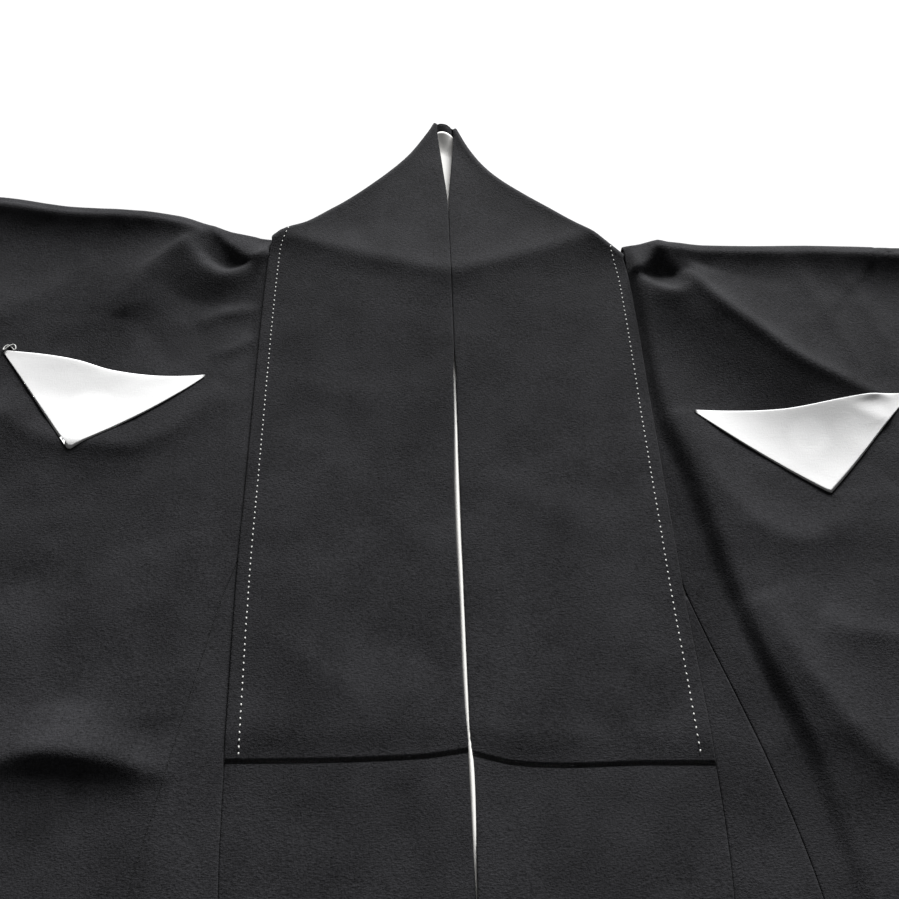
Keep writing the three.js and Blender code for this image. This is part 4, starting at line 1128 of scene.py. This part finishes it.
def paper_grid(half):
    """Two leaves folded along a line: start + s (end - start) + depth (the leg to the corner), where
    depth is |v| times the triangle's own height at s, plus the fold's bow. It lies at the soft
    greater, e log(exp(a / e) + exp(b / e)), of the cloth's height and the mean height beside it, and
    tanh(v / crease) parts the two leaves."""
    side = SIDE_OF[half]
    a, b, c = (np.array(p, float) for p in CREST_COVERS[half])
    s = np.linspace(PAPER_ROWS["first"], PAPER_ROWS["last"], PAPER_ROWS["count"])[:, None]
    crease = PAPER_ROWS["crease"]
    leaf = np.linspace(crease + 0.01, 1, PAPER_ROWS["leaf"])
    turn = np.linspace(-crease, crease, PAPER_ROWS["crease_count"])
    v = np.concatenate([-leaf[::-1], turn, leaf])[None, :]
    foot = np.dot(c - a, b - a) / np.dot(b - a, b - a)
    depth = np.where(s < foot, s / foot, (1 - s) / (1 - foot)) * np.abs(v)
    leg = c - a - foot * (b - a)
    bow = along(PAPER_BOW[half], 1, s) * (1 - depth)
    x = side * (a[0] + (b - a)[0] * s + leg[0] * depth)
    y = a[1] + (b - a)[1] * s + leg[1] * depth + bow
    cloth, d = front_height(half, x, y), PAPER_ROWS["beside"]
    beside = ((d, 0), (-d, 0), (0, d), (0, -d))
    around = sum(front_height(half, x + dx, y + dy) for dx, dy in beside) / len(beside)
    base = PAPER["ease"] * np.logaddexp(cloth / PAPER["ease"], around / PAPER["ease"]) + CLOTH / 2
    return np.stack([x, y, base + PAPER["clear"] + PAPER["ply"] * np.tanh(v / crease)], -1)


class KIMONO_OT_linings(bpy.types.Operator):
    """The white linings behind the neck and between the fronts"""

    bl_idname = "kimono.linings"
    bl_label = "Linings"

    def execute(self, context):
        low = -COLLAR_CLOTH / 2 - SEAM
        part = wall(collar_silk_grid(), low - LINING_CLOTH, low)
        piece = add_piece("collar_silk", [part], material_of("silk"), "collar_lining")
        part = wall(body_silk_grid(), -LINING_CLOTH / 2, LINING_CLOTH / 2)
        piece = add_piece("body_silk", [part], material_of("silk"), "back_lining")
        return {"FINISHED"}


class KIMONO_OT_covers(bpy.types.Operator):
    """The folded papers over the blank breast crests"""

    bl_idname = "kimono.covers"
    bl_label = "Crest covers"

    def execute(self, context):
        for half in HALVES:
            part = wall(paper_grid(half), -PAPER["half"], PAPER["half"], radius=0.2)
            piece = add_piece(
                f"crest_paper_{half}", [part], material_of("paper"), f"crest_cover_{half}")
            middle = CREST_MIDDLE[half]
            far = np.hypot(SIDE_OF[half] * part[0][:, 0] - middle[0], part[0][:, 1] - middle[1])
            shows = smooth((CREST["radius"] + CREST["soft"] - far) / (2 * CREST["soft"]))
            crest = piece.data.attributes.new("crest", "FLOAT", "POINT")
            crest.data.foreach_set("value", shows.astype(np.float32))
        return {"FINISHED"}


def knot_tube():
    """A closed tube round the path (a sin u, b sin(2 u + lag), c cos u) about the knot's place."""
    u = 2 * math.pi * np.arange(KNOT["rings"]) / KNOT["rings"]
    a, b = KNOT["half"]
    middle = np.stack([a * np.sin(u), b * np.sin(2 * u + KNOT["lag"]), KNOT["width"] * np.cos(u)], -1)
    forward = np.roll(middle, -1, 0) - np.roll(middle, 1, 0)
    side = np.cross(forward, [0, 0, 1])
    side /= np.linalg.norm(side, axis=1, keepdims=True)
    angle = 2 * math.pi * np.arange(KNOT["sides"]) / KNOT["sides"]
    ring = np.cos(angle)[:, None] * side[:, None, :] + np.sin(angle)[:, None] * np.array([0, 0, 1.0])
    x, y = KNOT["at"]
    cloth = front_height("right", np.array([float(x)]), np.array([float(y)]))[0]
    high = float(cloth) + CLOTH / 2 + KNOT["rise"] / 2
    points = np.array([x, y, high]) + middle[:, None, :] + KNOT["width"] * ring
    index = np.arange(points.size // 3).reshape(KNOT["rings"], KNOT["sides"])
    nxt, on = np.roll(index, -1, 1), np.roll(index, -1, 0)
    quads = np.stack([index, nxt, np.roll(on, -1, 1), on], -1).reshape(-1, 4)
    return points.reshape(-1, 3), quads


def stitch_row(half, length, pitch, width, inset):
    """Short closed tubes along the line on which the band's distance from its seam is the inset. A
    stitch's half width is the thread's times the root of 1 - (2 u - 1)^4, with u from 0 to 1 along
    it, and sines of its place shift it along the line and turn it a little."""
    t = np.linspace(0, PEAK + OVER_COLLAR_END[half] - BASTING["short"], BASTING["samples"])
    w = np.full_like(t, inset / BASTING["band"])
    line_on_band = collar_point(half, t, w)
    forward = np.gradient(line_on_band, axis=0)
    normal = np.cross(forward, collar_point(half, t, w + 0.01) - line_on_band) * SIDE_OF[half]
    normal /= np.linalg.norm(normal, axis=1, keepdims=True)
    up = np.sign(normal[-1, 2])
    far = np.concatenate([[0], np.cumsum(np.linalg.norm(np.diff(line_on_band, axis=0), axis=1))])
    path = line_on_band + normal * up * (COLLAR_CLOTH / 2 + SEAM + OVER_COLLAR_CLOTH + BASTING["clear"])
    even = np.arange(pitch / 2, far[-1] - length, pitch)
    starts = even + sum(by * np.sin(even * rate) for by, rate in STRAY["along"])
    u = np.linspace(0, 1, BASTING["rings"])
    at = starts[:, None] + length * u[None, :]
    across = np.cross(np.gradient(path, axis=0), normal)
    across /= np.linalg.norm(across, axis=1, keepdims=True)
    centre, side_dir, up_dir = (
        np.stack([np.interp(at, far, values[:, k]) for k in range(3)], -1)
        for values in (path, across, normal * up))
    by, rate = STRAY["lean"]
    lean = by * np.sin(starts * rate)[:, None] * (u - 0.5)[None, :]
    size = width / 2 * np.sqrt(np.maximum(1 - (2 * u - 1) ** 4, 0.02))
    angle = (2 * math.pi * np.arange(BASTING["sides"]) / BASTING["sides"])[None, None, :, None]
    side_dir, up_dir = side_dir[:, :, None, :], up_dir[:, :, None, :]
    ring = np.cos(angle) * side_dir + BASTING["flat"] * np.sin(angle) * up_dir
    points = centre[:, :, None, :] + lean[..., None, None] * side_dir + size[None, :, None, None] * ring
    index = np.arange(points.size // 3).reshape(points.shape[:3])
    after = np.roll(index, -1, 2)
    quads = np.stack([index[:, :-1], after[:, :-1], after[:, 1:], index[:, 1:]], -1).reshape(-1, 4)
    caps = []
    for end, turned in ((0, False), (-1, True)):
        for corners in ((0, 1, 2, 3), (0, 3, 4, 7), (7, 4, 5, 6)):
            cap = index[:, end][:, corners]
            caps.append(cap if turned else cap[:, ::-1])
    return points.reshape(-1, 3), np.concatenate([quads, *caps])


class KIMONO_OT_basting(bpy.types.Operator):
    """The rows of white basting stitches along the over-collar's seams, and the knot at a paper"""

    bl_idname = "kimono.basting"
    bl_label = "Basting"

    def execute(self, context):
        sizes = context.scene.kimono_sizes
        lengths = [v / MM for v in (sizes.stitch, sizes.pitch, sizes.thread, sizes.inset)]
        parts = [stitch_row(half, *lengths) for half in HALVES]
        add_piece("basting_stitches", parts, material_of("thread"))
        add_piece("cover_knot", [knot_tube()], material_of("thread"))
        return {"FINISHED"}


# The stage: the floor and the camera's clipping in metres, and places in millimetres
FLOOR = dict(half=6, below=0.0005, grey=0.9)
SKY = 0.09
LIT_PLACE = (0.0, -150.0, 0.0)
# Each light's name, place, size in metres and power
LIGHTS = (
    ("window", (1900.0, 7650.0, 2650.0), 3.0, 2350.0),
    ("fill", (500.0, -1500.0, 2200.0), 2.5, 2.0),
)
CAMERA = dict(lens=40.04, sensor=36.0, clip=(0.01, 100), place=(-14.2, -477.8, 469.0), tilt=33.9, turn=-1.71)


class KIMONO_OT_stage(bpy.types.Operator):
    """The pale floor, the soft lights and the camera"""

    bl_idname = "kimono.stage"
    bl_label = "Stage"

    def execute(self, context):
        scene = context.scene
        mesh = bpy.data.meshes.new("floor")
        far, low = FLOOR["half"], -FLOOR["below"]
        corners = [(-far, -far, low), (far, -far, low), (far, far, low), (-far, far, low)]
        mesh.from_pydata(corners, [], [(0, 1, 2, 3)])
        material, _, shader = new_material("PaleFloor", 0.9)
        shader.inputs["Base Color"].default_value = (*[FLOOR["grey"]] * 3, 1)
        mesh.materials.append(material)
        floor = bpy.data.objects.new("floor", mesh)
        scene.collection.objects.link(floor)
        world = bpy.data.worlds.new("Studio")
        world.use_nodes = True
        sky = world.node_tree.nodes["Background"].inputs
        sky["Color"].default_value, sky["Strength"].default_value = (1, 1, 1, 1), SKY
        scene.world = world
        target = np.array(LIT_PLACE) * MM + ORIGIN
        for name, place, size, energy in LIGHTS:
            light = bpy.data.lights.new(name, "AREA")
            light.size, light.energy = size, energy
            lamp = bpy.data.objects.new(name, light)
            scene.collection.objects.link(lamp)
            spot = np.array(place) * MM + ORIGIN
            lamp.location = spot
            away = target - spot
            tilt = math.atan2(math.hypot(away[0], away[1]), -away[2])
            lamp.rotation_euler = (tilt, 0, math.atan2(away[1], away[0]) - math.pi / 2)
        lens = bpy.data.cameras.new("camera")
        lens.lens, lens.sensor_width = CAMERA["lens"], CAMERA["sensor"]
        lens.clip_start, lens.clip_end = CAMERA["clip"]
        camera = bpy.data.objects.new("camera", lens)
        camera.location = np.array(CAMERA["place"]) * MM + ORIGIN
        camera.rotation_euler = (math.radians(CAMERA["tilt"]), 0, math.radians(CAMERA["turn"]))
        scene.collection.objects.link(camera)
        scene.camera = camera
        scene.view_settings.view_transform = "Standard"
        return {"FINISHED"}


class KIMONO_PT_panel(bpy.types.Panel):
    bl_label = "Kimono"
    bl_idname = "KIMONO_PT_panel"
    bl_space_type = "VIEW_3D"
    bl_region_type = "UI"
    bl_category = "Kimono"

    def draw(self, context):
        for group in (context.scene.kimono_colours, context.scene.kimono_sizes):
            for name in group.__annotations__:
                self.layout.prop(group, name)
        for operator in OPERATORS:
            self.layout.operator(operator.bl_idname)


OPERATORS = (
    KIMONO_OT_stage, KIMONO_OT_body, KIMONO_OT_sleeves, KIMONO_OT_okumi, KIMONO_OT_collar,
    KIMONO_OT_linings, KIMONO_OT_covers, KIMONO_OT_basting,
)
CLASSES = (KimonoColours, KimonoSizes, *OPERATORS, KIMONO_PT_panel)


def register():
    for one in CLASSES:
        bpy.utils.register_class(one)
    bpy.types.Scene.kimono_colours = bpy.props.PointerProperty(type=KimonoColours)
    bpy.types.Scene.kimono_sizes = bpy.props.PointerProperty(type=KimonoSizes)


def unregister():
    del bpy.types.Scene.kimono_sizes
    del bpy.types.Scene.kimono_colours
    for one in reversed(CLASSES):
        bpy.utils.unregister_class(one)


def main():
    register()
    for operator in OPERATORS:
        space, name = operator.bl_idname.split(".")
        getattr(getattr(bpy.ops, space), name)()


if __name__ == "__main__":
    main()
